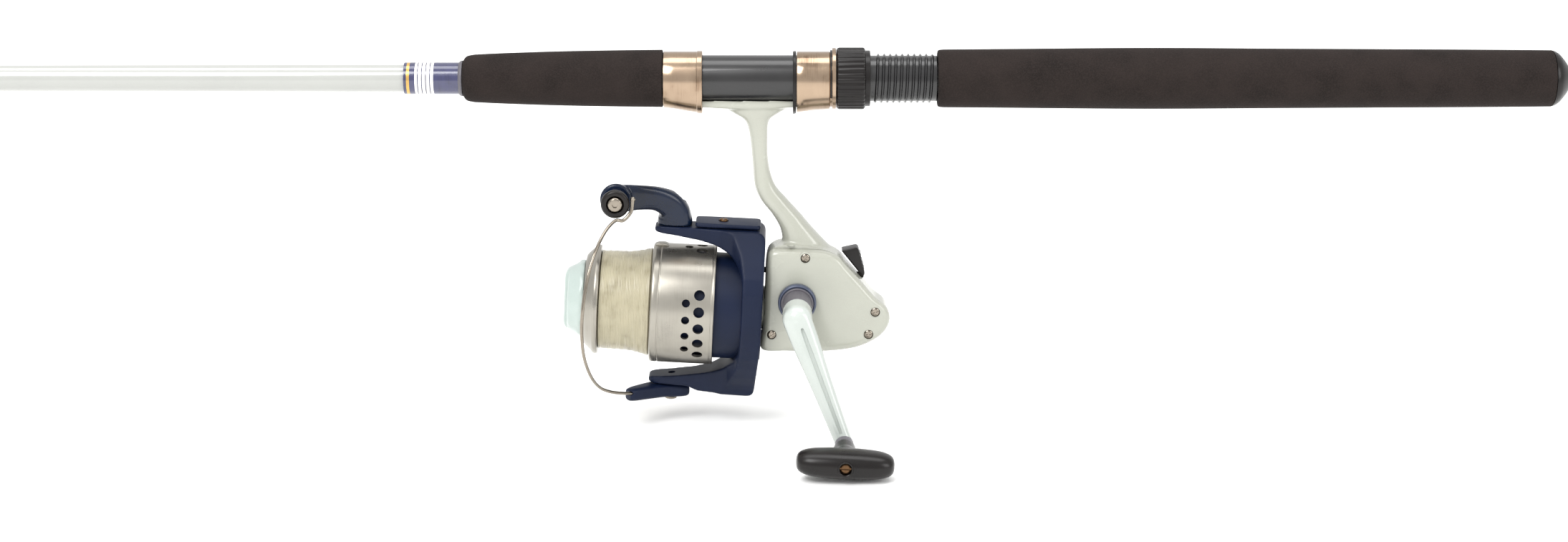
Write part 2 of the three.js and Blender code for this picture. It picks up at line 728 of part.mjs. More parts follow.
// ---------------------------------------------------------------- drive train
function makeDrive() {
  const [cx, cz] = CRANK.at;
  const { teeth, pinionTeeth, radius, faceWidth, pinionRadius, sleeveRadius, oscTeeth, oscDrive } = GEAR;
  const mesh = pinionRadius + GAP; // y of the face teeth's tips, beside the pinion
  const tapped = bar(BODY.far - 7, BODY.far + 4, 1.8, 8);
  const shaft = cut(bar(CRANK.shaftEnd, BODY.far + 1.8, CRANK.shaftRadius, 16), tapped);
  const disc = bar(mesh + 1.2, mesh + faceWidth - 0.3, radius, 30);
  const faceTeeth = Array.from({ length: teeth }, (_, n) =>
    box(mesh, mesh + 1.4, -0.45, 0.45, radius - 3.2, radius - 0.2).rotate([(360 * n) / teeth, 0, 0]),
  );
  const small = toothed(-BODY.wall - 6, -BODY.wall - 3, 5.6, 1.2, oscDrive);
  piece("drive_gear", brass, alongY(join(shaft, disc, small, ...faceTeeth)).translate([cx, 0, cz]), reel);

  const cogs = toothed(BODY.front + 6.4, BODY.front + 13, pinionRadius, 1, pinionTeeth);
  const sleeve = bar(30, 55, sleeveRadius, 16);
  piece("pinion", brass, cut(join(sleeve, cogs), bar(28, 62, running(SHAFT.radius, 12))), reel);

  const osc = join(
    toothed(-BODY.wall - 6, -BODY.wall - 3.4, 10.6, 1.2, oscTeeth),
    bar(-BODY.wall - 4, -BODY.wall - 1.2, 1.5, 10).translate([0, 0, -7]),
    bar(BODY.near + BODY.wall + GAP, -BODY.wall - 5, 1.8, 10),
  );
  piece("oscillation_gear", blackPlastic, alongY(osc).translate([cx + 14.6, 0, cz - 7.4]), reel);
  const { radius: shaftRadius, rear } = SHAFT;
  const track = box(rear - 12.4, rear - 1.6, -3.2, -1.9, -9, 4.4);
  const side = shaftRadius + 1.9; // half height of the block
  const block = join(box(rear - 11, rear - 3, -3, shaftRadius + 0.7, -side, side), track);
  piece("oscillation_slider", blackPlastic, cut(block, bar(rear - 20, rear + 5, shaftRadius + 0.2)), reel);
  piece("main_shaft", steel, bar(SHAFT.front, rear, shaftRadius), reel);

  const saw = [];
  for (let n = 0; n < RATCHET.teeth; n++)
    for (const [share, r] of [[0, RATCHET.radius], [0.92, RATCHET.radius - 2]]) {
      const t = (2 * Math.PI * (n + share)) / RATCHET.teeth;
      saw.push([r * Math.cos(t), r * Math.sin(t)]);
    }
  const wheel = slab(saw, 0, RATCHET.thickness).rotate([0, 0, -90]).translate([RATCHET.front, 0, 0]);
  piece("ratchet", steel, cut(wheel, bar(30, 60, sleeveRadius + GAP, 16)), reel);

  // The lever is a wedge that stands off the housing's rear slope; its rod carries the pawl.
  const wedge = slab(
    [
      [85.8, 33.9],
      [93.6, 36],
      [94.8, 35.2],
      [98.8, 22.6],
      [98.5, 20.8],
      [97.3, 20.8],
    ],
    -LEVER.halfWidth,
    LEVER.halfWidth,
    0.45,
  );
  const rod = bar(RATCHET.front - 0.4, 98.6, LEVER.rodRadius, 12).translate([0, 0, LEVER.axisZ]);
  piece("anti_reverse_lever", blackPlastic, join(wedge, rod), reel);
  const tip = RATCHET.radius + GAP;
  const pawl = cut(
    join(
      bar(RATCHET.front, RATCHET.front + RATCHET.thickness, 3, 12).translate([0, 0, LEVER.axisZ]),
      box(RATCHET.front, RATCHET.front + RATCHET.thickness, -1.6, 1.6, tip, LEVER.axisZ),
    ),
    bar(RATCHET.front - 2, RATCHET.front + 4, LEVER.rodRadius + 0.15, 12).translate([0, 0, LEVER.axisZ]),
  );
  piece("anti_reverse_pawl", steel, pawl, reel);
}

// ---------------------------------------------------------------- rotor and bail
function makeRotor() {
  const { drumRadius, drumFront, wall, plateFront, rear, armFront, webHalfWidth } = ROTOR;
  const { armReach, coverTop, coverFront, coverRear } = ROTOR;
  const backRadius = drumRadius - wall - 1;
  const hub = GEAR.sleeveRadius + GAP;
  const drum = turned(
    [
      [drumFront, drumRadius],
      [rear, drumRadius],
      [rear, backRadius],
      [plateFront + 3, backRadius],
      [plateFront + 3, hub],
      [plateFront, hub],
      [plateFront, drumRadius - wall],
      [drumFront, drumRadius - wall],
    ],
    40,
    true,
  );
  // Half of the side view of the two arms and their web, from the web's inner edge over an
  // arm to the web's rear.
  const armSide = (back) => [
    [plateFront, 13],
    [plateFront - 0.5, 20],
    [plateFront - 3, 26.5],
    [plateFront - 8.5, 32],
    [14, 36.2],
    [0, 38.2],
    [armFront, 39.4],
    [armFront, armReach - 0.6],
    [armFront + 1.5, armReach],
    ...back,
    [rear, 14],
  ];
  const upper = armSide([
    [rear - 2.5, armReach + 0.4],
    [rear, armReach - 2.4],
  ]);
  const lower = armSide([
    [coverFront, armReach + 0.4],
    [coverFront + 4, coverTop - 0.6],
    [rear - 4.4, coverTop],
    [rear - 2.2, coverTop - 1.8],
  ]);
  const mirrored = (points, [u, v]) => points.map(([a, b]) => [u * a, v * b]).reverse();
  const sideView = slab([...upper, ...mirrored(lower, [1, -1])], -webHalfWidth - 1, webHalfWidth + 1);
  const planHalf = [
    [armFront, 5],
    [armFront + 3, 7],
    [12, 8.4],
    [24, 11],
    [plateFront - 5, 15],
    [plateFront - 1.5, 22],
    [plateFront, webHalfWidth + 2],
    [rear, webHalfWidth + 2],
  ];
  const plan = slab([...planHalf, ...mirrored(planHalf, [1, -1])], -60, 60).rotate([90, 0, 0]);
  const endHalf = [
    [12.4, -coverTop - 2],
    [13, -armReach],
    [19, -34],
    [26, -23],
    [webHalfWidth, -13],
    [webHalfWidth, 13],
    [26, 23],
    [19, 34],
    [13, armReach],
    [12.4, coverTop + 2],
  ];
  const endOutline = [...endHalf, ...mirrored(endHalf, [-1, 1])];
  const endView = slab(endOutline, armFront - 1, rear + 1).rotate([0, 0, -90]);
  const yoke = sideView.intersect(plan).intersect(endView);
  const bore = bar(drumFront - 5, plateFront, drumRadius - wall, 40);
  const backBore = bar(plateFront + 3, rear + 1, backRadius, 40);
  const pocket = box(coverFront + 4, coverRear - 4, -3.6, 3.6, armReach - 3.4, armReach + 3);
  const arms = cut(yoke, bore, backBore, bar(plateFront - 1, rear, hub, 40));
  const pivots = alongZ(bar(-60, 60, BAIL.pivotRadius + RUN)).intersect(
    join(box(-5, 5, -5, 5, 36, 60), box(-5, 5, -5, 5, -60, -36)),
  );
  const screwX = (coverFront + coverRear) / 2 - 2.6;
  const coverScrewHole = alongZ(bar(armReach - 4, 60, 1.2, 8)).translate([screwX, 0, 0]);
  piece("rotor", navy, cut(join(drum, arms), pocket, pivots, coverScrewHole), reel);

  const lidUnder = armReach + 0.5 + GAP;
  const lidSide = [
    [coverFront, lidUnder],
    [coverFront + 2, coverTop],
    [coverRear - 2, coverTop],
    [coverRear, lidUnder],
  ];
  piece("arm_cover", navy, cut(slab(lidSide, -9, 9).intersect(plan), coverScrewHole), reel);
  const capHead = join(
    turned([[coverTop + GAP, 2.3], [coverTop + 0.9, 2.3], [coverTop + 1.4, 1.5]], 12),
    bar(armReach - 3, coverTop + 0.5, 0.9, 8),
  );
  piece("arm_cover_screw", chrome, alongZ(capHead).translate([screwX, 0, 0]), reel);

  const hex = turned([[plateFront - 4.4, 6.6], [plateFront - GAP, 6.6]], 6);
  piece("rotor_nut", brass, cut(hex, bar(20, 40, GEAR.sleeveRadius + RUN, 16)), reel);

  // A coil that pushes the bail over, lying in the arm under its cover.
  class Coil extends THREE.Curve {
    getPoint(t) {
      const turn = 2 * Math.PI * 6 * t;
      return vec(coverFront + 5 + 8 * t, 1.5 * Math.cos(turn), armReach - 1.5 + 1.5 * Math.sin(turn));
    }
  }
  piece("bail_spring", steel, wire(new Coil(), 0.3, 42, 5), reel);
}

// A bent piece of changing oval section: stations of [point, half height, half thickness].
function bent(stations, count = 16) {
  const middle = stations.map(([p]) => vec(...p));
  return loft(
    stations.map(([, a, b], n) => {
      const next = middle[Math.min(n + 1, middle.length - 1)];
      const along = next.clone().sub(middle[Math.max(n - 1, 0)]).normalize();
      const side = Y.clone().addScaledVector(along, -Y.dot(along)).normalize();
      return oval(middle[n], side.clone().cross(along), side, a, b, count, 0.85);
    }),
  );
}

function makeBail() {
  const [rx, ry, rz] = BAIL.rollerAt;
  const half = BAIL.rollerHalf;
  const { armReach } = ROTOR;
  const seat = armReach + GAP + 0.1;
  const atRoller = (made) => alongY(made).translate([rx, ry, rz]);
  const sweep = bent([
    [[-1.7, 0, seat], 9.1, 7.2],
    [[-1.8, 0, seat + 3], 9.3, 7.3],
    [[-2.6, -0.8, 50], 8.9, 7],
    [[-5.4, -3, 54.4], 7.5, 5.8],
    [[-12, -6.6, 57.6], 6.4, 4.2],
    [[-21, -11, 58.6], 6.8, 2.8],
    [[-28.5, -13.9, rz + 0.2], 7.4, 1.8],
    [[-31.5, -14.8, rz + 0.1], 7.6, 1.5],
  ]);
  const rim = [
    [half + GAP, 7.6],
    [half + 0.9, 8.4],
    [half + 3.2, 8.4],
    [half + 4, 7.6],
  ];
  const flange = atRoller(turned(rim, 24));
  const pivotHole = alongZ(bar(40, 70, running(BAIL.pivotRadius, 12)));
  const pivotSink = alongZ(bar(51.5, 70, 3.6, 12));
  const screwHole = atRoller(bar(-2, half + 6, 1.9 + GAP, 12));
  piece("bail_arm", navy, cut(join(sweep, flange), pivotHole, pivotSink, screwHole), reel);
  const pivotHead = turned([[51.7, 3.3], [53, 3.3], [53.6, 2.4]], 16);
  const pivotScrew = join(bar(armReach - 3, 51.9, BAIL.pivotRadius, 12), pivotHead);
  piece("bail_pivot_screw", chrome, alongZ(pivotScrew), reel);
  const groove = turned(
    [
      [-half, 5.2],
      [-half + 0.8, 5.2],
      [-0.8, 4.2],
      [0.8, 4.2],
      [half - 0.8, 5.2],
      [half, 5.2],
      [half, running(1.9, 20)],
      [-half, running(1.9, 20)],
    ],
    20,
    true,
  );
  piece("line_roller", chrome, atRoller(groove), reel);
  const capHalf = half + GAP;
  const cap = turned(
    [
      [-capHalf, 7],
      [-capHalf - 0.8, 7.4],
      [-capHalf - 2.6, 7.4],
      [-capHalf - 3.6, 6.4],
      [-capHalf - 3.6, 4.2],
      [-capHalf - 2, 4.2],
      [-capHalf - 2, 1.9 + GAP],
      [-capHalf, 1.9 + GAP],
    ],
    24,
    true,
  );
  piece("roller_cap", blackPlastic, atRoller(cap), reel);
  const headAt = -capHalf - 2 - GAP;
  const dome = turned([[headAt, 3.85], [headAt - 1.6, 3.85], [headAt - 2.4, 3]], 20);
  const head = cut(dome, bar(headAt - 4, headAt - 1, 1.6, 6));
  piece("roller_screw", chrome, atRoller(join(head, bar(headAt - 0.5, half + 3, 1.9, 12))), reel);

  // The bail wire leaves the roller cap, bows round the spool and ends in the lever.
  const capEdge = ry - capHalf - 1.6;
  const route = [
    [rx + 8.8, capEdge, rz + 2.6],
    [rx + 8.3, capEdge - 0.8, rz - 3.4],
    [rx + 4.6, capEdge - 2.4, rz - 7.8],
    [-31.5, -30.5, 50.6],
    [-35.8, -37, 47],
    [-39.4, -45, 40.6],
    [-42.6, -52, 31],
    [-44.6, -57, 18],
    [-45.4, -59, 4],
    [-44.8, -57, -9],
    [-43.2, -51, -20],
    [-40, -42, -31],
    [-36, -33, -38.6],
    [-31, -27, -42.4],
    [-25, -21.6, -44.6],
    [-18.5, -15.4, -46.3],
  ].map((p) => vec(...p));
  const wireCurve = new THREE.CatmullRomCurve3(route);
  const steps = 48;
  piece("bail_wire", chrome, wire(wireCurve, BAIL.wireRadius, steps), reel);

  const leverHalf = 3.9; // half thickness at the pivot
  const leverZ = -armReach - GAP - 0.1 - leverHalf;
  const lever = loft(
    [
      [[8, 1], 2.5, 1.8],
      [[6.6, 0.8], 5.4, 3.3],
      [[2, 0.4], 7.2, leverHalf],
      [[-5, -2], 6.4, leverHalf],
      [[-14, -9], 4.8, 3.7],
      [[-19.5, -13.8], 3.6, 3.4],
      [[-22.4, -16.4], 2.2, 2.6],
    ].map(([[x, y], wide, thick]) => oval(vec(x, y, leverZ), vec(0.6, -0.8, 0), Z, wide, thick, 16, 0.85)),
  );
  const socket = wire(wireCurve, BAIL.wireRadius + 0.45, steps);
  const lowerHole = alongZ(bar(-70, -30, running(BAIL.pivotRadius, 12)));
  piece("bail_lever", navy, cut(lever, socket, lowerHole), reel);
  const bottom = leverZ - leverHalf - 0.2;
  const lowerScrew = join(
    bar(bottom - 0.4, -armReach + 3, BAIL.pivotRadius, 12),
    turned([[bottom - 1.7, 2.4], [bottom - 1.2, 3.4], [bottom - 0.2, 3.4]], 16),
  );
  piece("lever_pivot_screw", chrome, alongZ(lowerScrew), reel);
}

// ---------------------------------------------------------------- spool and drag
function makeSpool() {
  const { lipRadius, lipFront, lipLength, coreRadius, lineFront, lineRear, washerPocket } = SPOOL;
  const { skirtRadius, skirtFront, skirtEnd, wall } = SPOOL;
  const lipBack = lipFront + lipLength;
  const nose = lipFront - 5;
  const bore = running(SHAFT.radius, 36);
  const floor = nose + 8.2;
  const profile = [
    [nose, washerPocket],
    [nose, 23.6],
    [lipFront - 1.8, 26.5],
    [lipFront + 0.2, 28.2],
    [lipFront + 1, lipRadius],
    [lipBack - 0.4, lipRadius],
    [lipBack, lipRadius - 0.7],
    [lipBack, coreRadius],
    [skirtFront - GAP, coreRadius],
    [skirtFront - GAP, skirtRadius - 0.8],
    [skirtFront + 0.6, skirtRadius],
    [skirtEnd, skirtRadius],
    [skirtEnd, skirtRadius - wall],
    [skirtFront + 3, skirtRadius - wall],
    [skirtFront + 3, coreRadius - wall],
    [floor + 2.2, coreRadius - wall],
    [floor + 2.2, 6],
    [skirtFront + 3, 6],
    [skirtFront + 3, bore],
    [floor, bore],
    [floor, washerPocket],
  ];
  const holes = [];
  for (let group = 0; group < HOLES.groups; group++)
    for (const { count, radius, x } of HOLES.rows)
      for (let n = 0; n < count; n++) {
        const turn = (360 * group) / HOLES.groups + HOLES.centre + (n - (count - 1) / 2) * HOLES.step;
        const drill = alongY(bar(-skirtRadius - 3, -skirtRadius + 5, radius, 6));
        holes.push(drill.translate([x, 0, 0]).rotate([turn, 0, 0]));
      }
  piece("spool", silver, cut(turned(profile, 36, true), ...holes), reel);
  piece(
    "line_winding",
    nylon,
    turned(
      [
        [lipBack + GAP, lineFront - 0.6],
        [lipBack + 1.2, lineFront],
        [skirtFront - 1.6, lineRear],
        [skirtFront - 2 * GAP, lineRear - 0.8],
        [skirtFront - 2 * GAP, coreRadius + GAP],
        [lipBack + GAP, coreRadius + GAP],
      ],
      36,
      true,
    ),
    reel,
  );
  const washers = tube(floor - 4.4, floor - GAP, washerPocket - 0.5, SHAFT.radius + 2 * GAP);
  piece("drag_washers", slate, washers, reel);
  const { radius, frontRadius, front, barHalf } = KNOB;
  const back = nose - GAP;
  const grip = [
    [front, -13],
    [front + 1.4, -16.4],
    [front + 5, -16.6],
    [front + 5, 16.6],
    [front + 1.4, 16.4],
    [front, 13],
  ];
  const dial = join(
    turned(
      [
        [front + 2.6, 8],
        [front + 2.4, frontRadius - 3],
        [front + 3, frontRadius - 0.6],
        [front + 5, frontRadius + 0.9],
        [back - 1.6, radius],
        [back, radius],
        [back, washerPocket - 0.5],
        [floor - 4.4 - GAP, washerPocket - 0.5],
      ],
      28,
    ),
    slab(grip, -barHalf, barHalf, 0.8),
  );
  piece("drag_knob", gloss, cut(dial, bar(SHAFT.front - 0.6, 0, running(SHAFT.radius, 12))), reel);
}

// ---------------------------------------------------------------- crank handle
function makeCrank() {
  const [cx, cz] = CRANK.at;
  const [kx, kz] = CRANK.knobAt;
  const { hubRadius, elbow, end, shaftEnd, shaftRadius, bossRadius, pinRadius, knobOut } = CRANK;
  const mid = end - knobOut; // y of the middle of the knob's bar
  const hubFar = BODY.near - 5.2 - GAP;
  const run = vec(kx - cx, 0, kz - cz);
  const length = run.length();
  const along = run.clone().normalize();
  const across = vec(-along.z, 0, along.x);
  // Sections of the arm: distance from the hub's axis, half width and half thickness.
  const sections = [
    [-7.2, 2.4, 2],
    [-5.6, 5.2, 4],
    [-2, 7, 5],
    [4, 7.3, 5.1],
    [14, 6.9, 4.9],
    [36, 5.6, 4.3],
    [length - 5, 4.6, 3.7],
    [length + 1, 4.6, 3.6],
    [length + 3.6, 3.4, 2.8],
    [length + 4.8, 1.6, 1.4],
  ];
  const blade = loft(
    sections.map(([at, wide, thick]) => {
      const centre = along.clone().multiplyScalar(at);
      centre.y = elbow + ((end - elbow) * at) / length;
      return oval(centre, across, Y, wide, thick, 20, 0.85);
    }),
  );
  const hubSide = [
    [elbow - 5.2, hubRadius - 5],
    [elbow - 3.6, hubRadius - 2.2],
    [elbow - 0.8, hubRadius - 0.3],
    [elbow + 2, hubRadius],
    [hubFar - 0.8, hubRadius],
    [hubFar, hubRadius - 0.8],
  ];
  const hub = alongY(turned(hubSide, 24));
  const atKnob = (made) => alongY(made).translate([kx - cx, 0, kz - cz]);
  const boss = bar(end - 8.6, end, bossRadius, 20);
  const pin = atKnob(join(bar(mid - 4, end, pinRadius, 12), boss));
  const socket = alongY(bar(shaftEnd - GAP, 0, shaftRadius + GAP, 16));
  const tapped = atKnob(bar(mid - 5, mid + 8, 1.2, 8));
  piece("handle_arm", gloss, cut(join(blade, hub, pin), socket, tapped).translate([cx, 0, cz]), reel);

  const stations = [
    [-24.7, 3.3, 2.4],
    [-23.7, 6.8, 4.9],
    [-17.6, 9.2, 6.6],
    [-8, 10.3, 7.35],
    [8, 10.3, 7.35],
    [17.6, 9.2, 6.6],
    [23.7, 6.8, 4.9],
    [24.7, 3.3, 2.4],
  ];
  const bar3 = loft(stations.map(([x, deep, high]) => oval(vec(x, mid, 0), Y, Z, deep, high, 20, 0.85)));
  const neck = alongY(turned([[mid + 3, 7], [mid + 12, 5.6], [end - 8.6 - GAP, 5.6]], 20));
  const bore = alongY(bar(mid - 20, end, running(pinRadius, 12)));
  const recess = alongY(bar(mid - 20, mid - 7.4, 4, 16));
  piece("handle_knob", blackPlastic, cut(join(bar3, neck), bore, recess).translate([kx, 0, kz]), reel);
  const headY = mid - 7.8;
  const knobHead = turned([[headY - 1.4, 2.8], [headY - 0.8, 3.7], [headY, 3.7]], 16);
  const driverSlot = box(headY - 3, headY - 0.7, -3, 3, -0.5, 0.5);
  const knobScrew = cut(join(knobHead, bar(headY - 0.5, mid + 6, 0.9, 8)), driverSlot);
  piece("knob_screw", brass, alongY(knobScrew).translate([kx, 0, kz]), reel);
  const capAt = BODY.far + 2.2 + GAP;
  const button = turned([[capAt, 8.2], [capAt + 2, 8.2], [capAt + 3.4, 6.6]], 24);
  const cap = join(button, bar(BODY.far - 4, capAt + 1, 1.5, 10));
  piece("handle_cap", gloss, alongY(cap).translate([cx, 0, cz]), reel);
}

// ---------------------------------------------------------------- build
makeRod();
makeSeat();
GUIDES.forEach((guide, n) => makeGuide(`guide_${n + 1}`, guide));
makeTipTop();
makeBody();
makeDrive();
makeRotor();
makeBail();
makeSpool();
makeCrank();

export default root;
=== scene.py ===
import json
import math

import bmesh
import bpy
from mathutils import Matrix, Vector


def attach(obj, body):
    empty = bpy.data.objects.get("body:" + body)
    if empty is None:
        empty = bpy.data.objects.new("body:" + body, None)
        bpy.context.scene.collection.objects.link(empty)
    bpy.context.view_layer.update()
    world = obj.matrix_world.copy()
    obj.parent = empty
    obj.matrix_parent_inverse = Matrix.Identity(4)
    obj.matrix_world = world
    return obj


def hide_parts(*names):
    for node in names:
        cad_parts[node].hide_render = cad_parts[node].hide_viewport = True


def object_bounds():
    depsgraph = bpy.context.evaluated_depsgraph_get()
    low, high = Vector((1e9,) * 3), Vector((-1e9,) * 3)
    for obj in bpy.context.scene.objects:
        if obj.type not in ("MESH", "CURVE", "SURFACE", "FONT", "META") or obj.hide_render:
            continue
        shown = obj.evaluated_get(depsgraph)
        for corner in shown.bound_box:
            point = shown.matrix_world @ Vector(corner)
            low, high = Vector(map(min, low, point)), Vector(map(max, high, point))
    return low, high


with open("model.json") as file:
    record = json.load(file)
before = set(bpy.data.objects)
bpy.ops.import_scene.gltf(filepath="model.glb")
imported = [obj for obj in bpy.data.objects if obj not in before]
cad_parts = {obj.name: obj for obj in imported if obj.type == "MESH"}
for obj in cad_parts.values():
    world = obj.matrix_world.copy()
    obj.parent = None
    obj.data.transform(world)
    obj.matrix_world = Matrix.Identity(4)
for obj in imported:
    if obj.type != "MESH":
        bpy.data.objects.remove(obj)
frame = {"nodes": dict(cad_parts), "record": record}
cad_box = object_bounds()

MM = 0.001
ROD = Matrix.Scale(MM, 4)
# The reel's frame: x along the spool's axis to the rear, z up towards the rod.
REEL = (
    Matrix.Translation((-0.4621, 0, -0.1203))
    @ Matrix.Rotation(math.radians(3), 4, "Y")
    @ Matrix.Scale(MM, 4)
)
TO_REEL = REEL.inverted() @ ROD

# ------------------------------------------------------------------ materials


def srgb(code):
    def channel(v):
        v /= 255
        return v / 12.92 if v <= 0.04045 else ((v + 0.055) / 1.055) ** 2.4

    return tuple(channel(int(code[i : i + 2], 16)) for i in (0, 2, 4)) + (1.0,)


def finish(
    name,
    colour,
    rough,
    metal=0.0,
    shade=0.08,
    patch=60.0,
    grain=1500.0,
    relief=0.02,
    spread=0.08,
    stretch=None,
    second=None,
    cells=False,
    **sockets,
):
    """A surface whose colour, roughness and relief vary with position. Sizes are per metre."""
    made = bpy.data.materials.new(name)
    made.use_nodes = True
    tree = made.node_tree
    shader = tree.nodes["Principled BSDF"]
    link = tree.links.new
    where = tree.nodes.new("ShaderNodeTexCoord")
    turn = tree.nodes.new("ShaderNodeMapping")
    turn.inputs["Rotation"].default_value = (0, math.radians(-3), 0)
    turn.inputs["Scale"].default_value = stretch or (1, 1, 1)
    link(where.outputs["Object"], turn.inputs["Vector"])

    cloud = tree.nodes.new("ShaderNodeTexNoise")
    cloud.inputs["Scale"].default_value = patch
    cloud.inputs["Detail"].default_value = 4
    link(where.outputs["Object"], cloud.inputs["Vector"])
    fine = tree.nodes.new("ShaderNodeTexVoronoi" if cells else "ShaderNodeTexNoise")
    fine.inputs["Scale"].default_value = grain
    link(turn.outputs["Vector"], fine.inputs["Vector"])
    fine_out = fine.outputs["Distance" if cells else "Fac"]

    both = tree.nodes.new("ShaderNodeMath")
    both.operation = "MULTIPLY_ADD"
    both.inputs[1].default_value = 0.5
    link(fine_out, both.inputs[0])
    link(cloud.outputs["Fac"], both.inputs[2])
    ramp = tree.nodes.new("ShaderNodeValToRGB")
    base = srgb(colour)
    other = srgb(second) if second else tuple(c * (1 - 2 * shade) for c in base[:3]) + (1.0,)
    light = tuple(min(1, c * (1 + shade)) for c in base[:3]) + (1.0,)
    ramp.color_ramp.elements[0].position = 0.45
    ramp.color_ramp.elements[0].color = other
    ramp.color_ramp.elements[1].position = 1.0
    ramp.color_ramp.elements[1].color = light
    middle = ramp.color_ramp.elements.new(0.72)
    middle.color = base
    link(both.outputs[0], ramp.inputs["Fac"])
    link(ramp.outputs["Color"], shader.inputs["Base Color"])

    span = tree.nodes.new("ShaderNodeMapRange")
    span.inputs["To Min"].default_value = max(0.03, rough - spread)
    span.inputs["To Max"].default_value = min(1, rough + spread)
    link(cloud.outputs["Fac"], span.inputs["Value"])
    link(span.outputs["Result"], shader.inputs["Roughness"])

    bump = tree.nodes.new("ShaderNodeBump")
    bump.inputs["Strength"].default_value = 0.6
    bump.inputs["Distance"].default_value = relief * MM
    link(fine_out, bump.inputs["Height"])
    link(bump.outputs["Normal"], shader.inputs["Normal"])
    shader.inputs["Metallic"].default_value = metal
    for key, value in sockets.items():
        shader.inputs[key.replace("_", " ")].default_value = value
    return made


RINGS = (30, 0.6, 0.6)  # lines that run round the rod's or the spool's axis
FOAM = finish(
    "foam", "241e1c", 0.88, shade=0.25, grain=1500, relief=0.16, cells=True, second="1a1513",
    Specular_IOR_Level=0.15
)
BLACK = finish(
    "black_plastic", "100c0b", 0.3, shade=0.2, grain=2200, relief=0.03, Specular_IOR_Level=0.3
)
SEAT = finish("seat_black", "161516", 0.3, shade=0.2, grain=1800, relief=0.02, Coat_Weight=0.3)
WHITE = finish(
    "blank_white", "a2a39f", 0.16, shade=0.02, grain=900, relief=0.006, spread=0.04, Coat_Weight=0.7
)
PEARL = finish(
    "pearl", "a3a499", 0.27, shade=0.035, patch=35, grain=2600, relief=0.01, Coat_Weight=0.45
)
ENAMEL = finish("enamel", "b0b6b1", 0.2, shade=0.03, patch=50, grain=1200, relief=0.008, Coat_Weight=0.6)
AQUA = finish("aqua_white", "a6b2ad", 0.3, shade=0.04, patch=60, grain=1500, relief=0.01, Coat_Weight=0.3)
NAVY = finish(
    "navy", "0a152d", 0.46, shade=0.14, patch=45, grain=3000, relief=0.014, Specular_IOR_Level=0.22
)
DEEP = finish(
    "deep_navy", "081428", 0.2, shade=0.3, patch=70, grain=2400, relief=0.01, second="030508",
    Specular_IOR_Level=0.3, Coat_Weight=0.08,
)
STEEL = finish(
    "steel", "a08c78", 0.2, metal=1, shade=0.12, patch=90, grain=120, relief=0.012, stretch=RINGS,
    second="7a6350"
)
CHROME = finish("chrome", "8b8378", 0.16, metal=1, shade=0.08, patch=200, grain=900, relief=0.005)
SILVER = finish(
    "spool_silver", "9b978e", 0.3, metal=0.9, shade=0.08, patch=80, grain=130, relief=0.012, stretch=RINGS
)
BRASS = finish("brass", "5e4630", 0.35, metal=0.9, shade=0.2, patch=400, grain=1500, relief=0.01)
SLATE = finish("slate", "4a5164", 0.34, metal=0.2, shade=0.12, patch=120, grain=2000, relief=0.015)
GREY = finish("grey_rubber", "57545a", 0.42, shade=0.1, patch=150, grain=2200, relief=0.02)
LINE = finish(
    "line", "a69f87", 0.34, shade=0.1, patch=120, grain=100, relief=0.12, stretch=(28, 1.2, 1.2),
    second="877f67", Coat_Weight=0.2,
)
CERAMIC = finish("ceramic", "33363b", 0.12, shade=0.1, grain=900, relief=0.004, Coat_Weight=0.6)
TURNS = {"patch": 150, "grain": 110, "relief": 0.05, "stretch": RINGS}  # of wrapped thread
THREAD_NAVY = finish("thread_navy", "2b2c50", 0.22, shade=0.2, Coat_Weight=0.8, **TURNS)
THREAD_WHITE = finish("thread_white", "e6e4dc", 0.22, shade=0.06, Coat_Weight=0.8, **TURNS)
THREAD_GOLD = finish("thread_gold", "c8a050", 0.25, metal=0.5, shade=0.15, Coat_Weight=0.6, **TURNS)
NODE_LOOK = {
    "black_foam": FOAM,
    "black_plastic": BLACK,
    "white_gloss": WHITE,
    "pearl_paint": PEARL,
    "navy_paint": NAVY,
    "steel": STEEL,
    "chrome": CHROME,
    "spool_silver": SILVER,
    "brass": BRASS,
    "slate": SLATE,
    "line": LINE,
    "ceramic": CERAMIC,
}
for part in frame["record"]["subparts"]:
    mesh = frame["nodes"][part["node"]].data
    mesh.materials.clear()
    mesh.materials.append(NODE_LOOK[part["material_slot"]])
    mesh.polygons.foreach_set("use_smooth", [True] * len(mesh.polygons))
    mesh.set_sharp_from_angle(angle=math.radians(32))

# ------------------------------------------------------------------ mesh building, in millimetres


def shape(verts, faces):
    """An object from points and faces, facing outwards."""
    mesh = bpy.data.meshes.new("shape")
    mesh.from_pydata([tuple(v) for v in verts], [], faces)
    bm = bmesh.new()
    bm.from_mesh(mesh)
    bmesh.ops.remove_doubles(bm, verts=bm.verts, dist=1e-4)
    bmesh.ops.recalc_face_normals(bm, faces=bm.faces)
    bm.to_mesh(mesh)
    bm.free()
    obj = bpy.data.objects.new("shape", mesh)
    bpy.context.scene.collection.objects.link(obj)
    return obj


def curve_through(stations, per):
    """Catmull-Rom points through stations of numbers, with per steps between two."""
    out = []
    last = len(stations) - 1
    for i in range(last):
        a, b, c, d = (stations[min(max(i + k, 0), last)] for k in (-1, 0, 1, 2))
        for step in range(per):
            t = step / per
            out.append(
                tuple(
                    0.5
                    * (
                        2 * q
                        + (r - p) * t
                        + (2 * p - 5 * q + 4 * r - s) * t**2
                        + (3 * q - p - 3 * r + s) * t**3
                    )
                    for p, q, r, s in zip(a, b, c, d)
                )
            )
    return out + [tuple(stations[-1])]


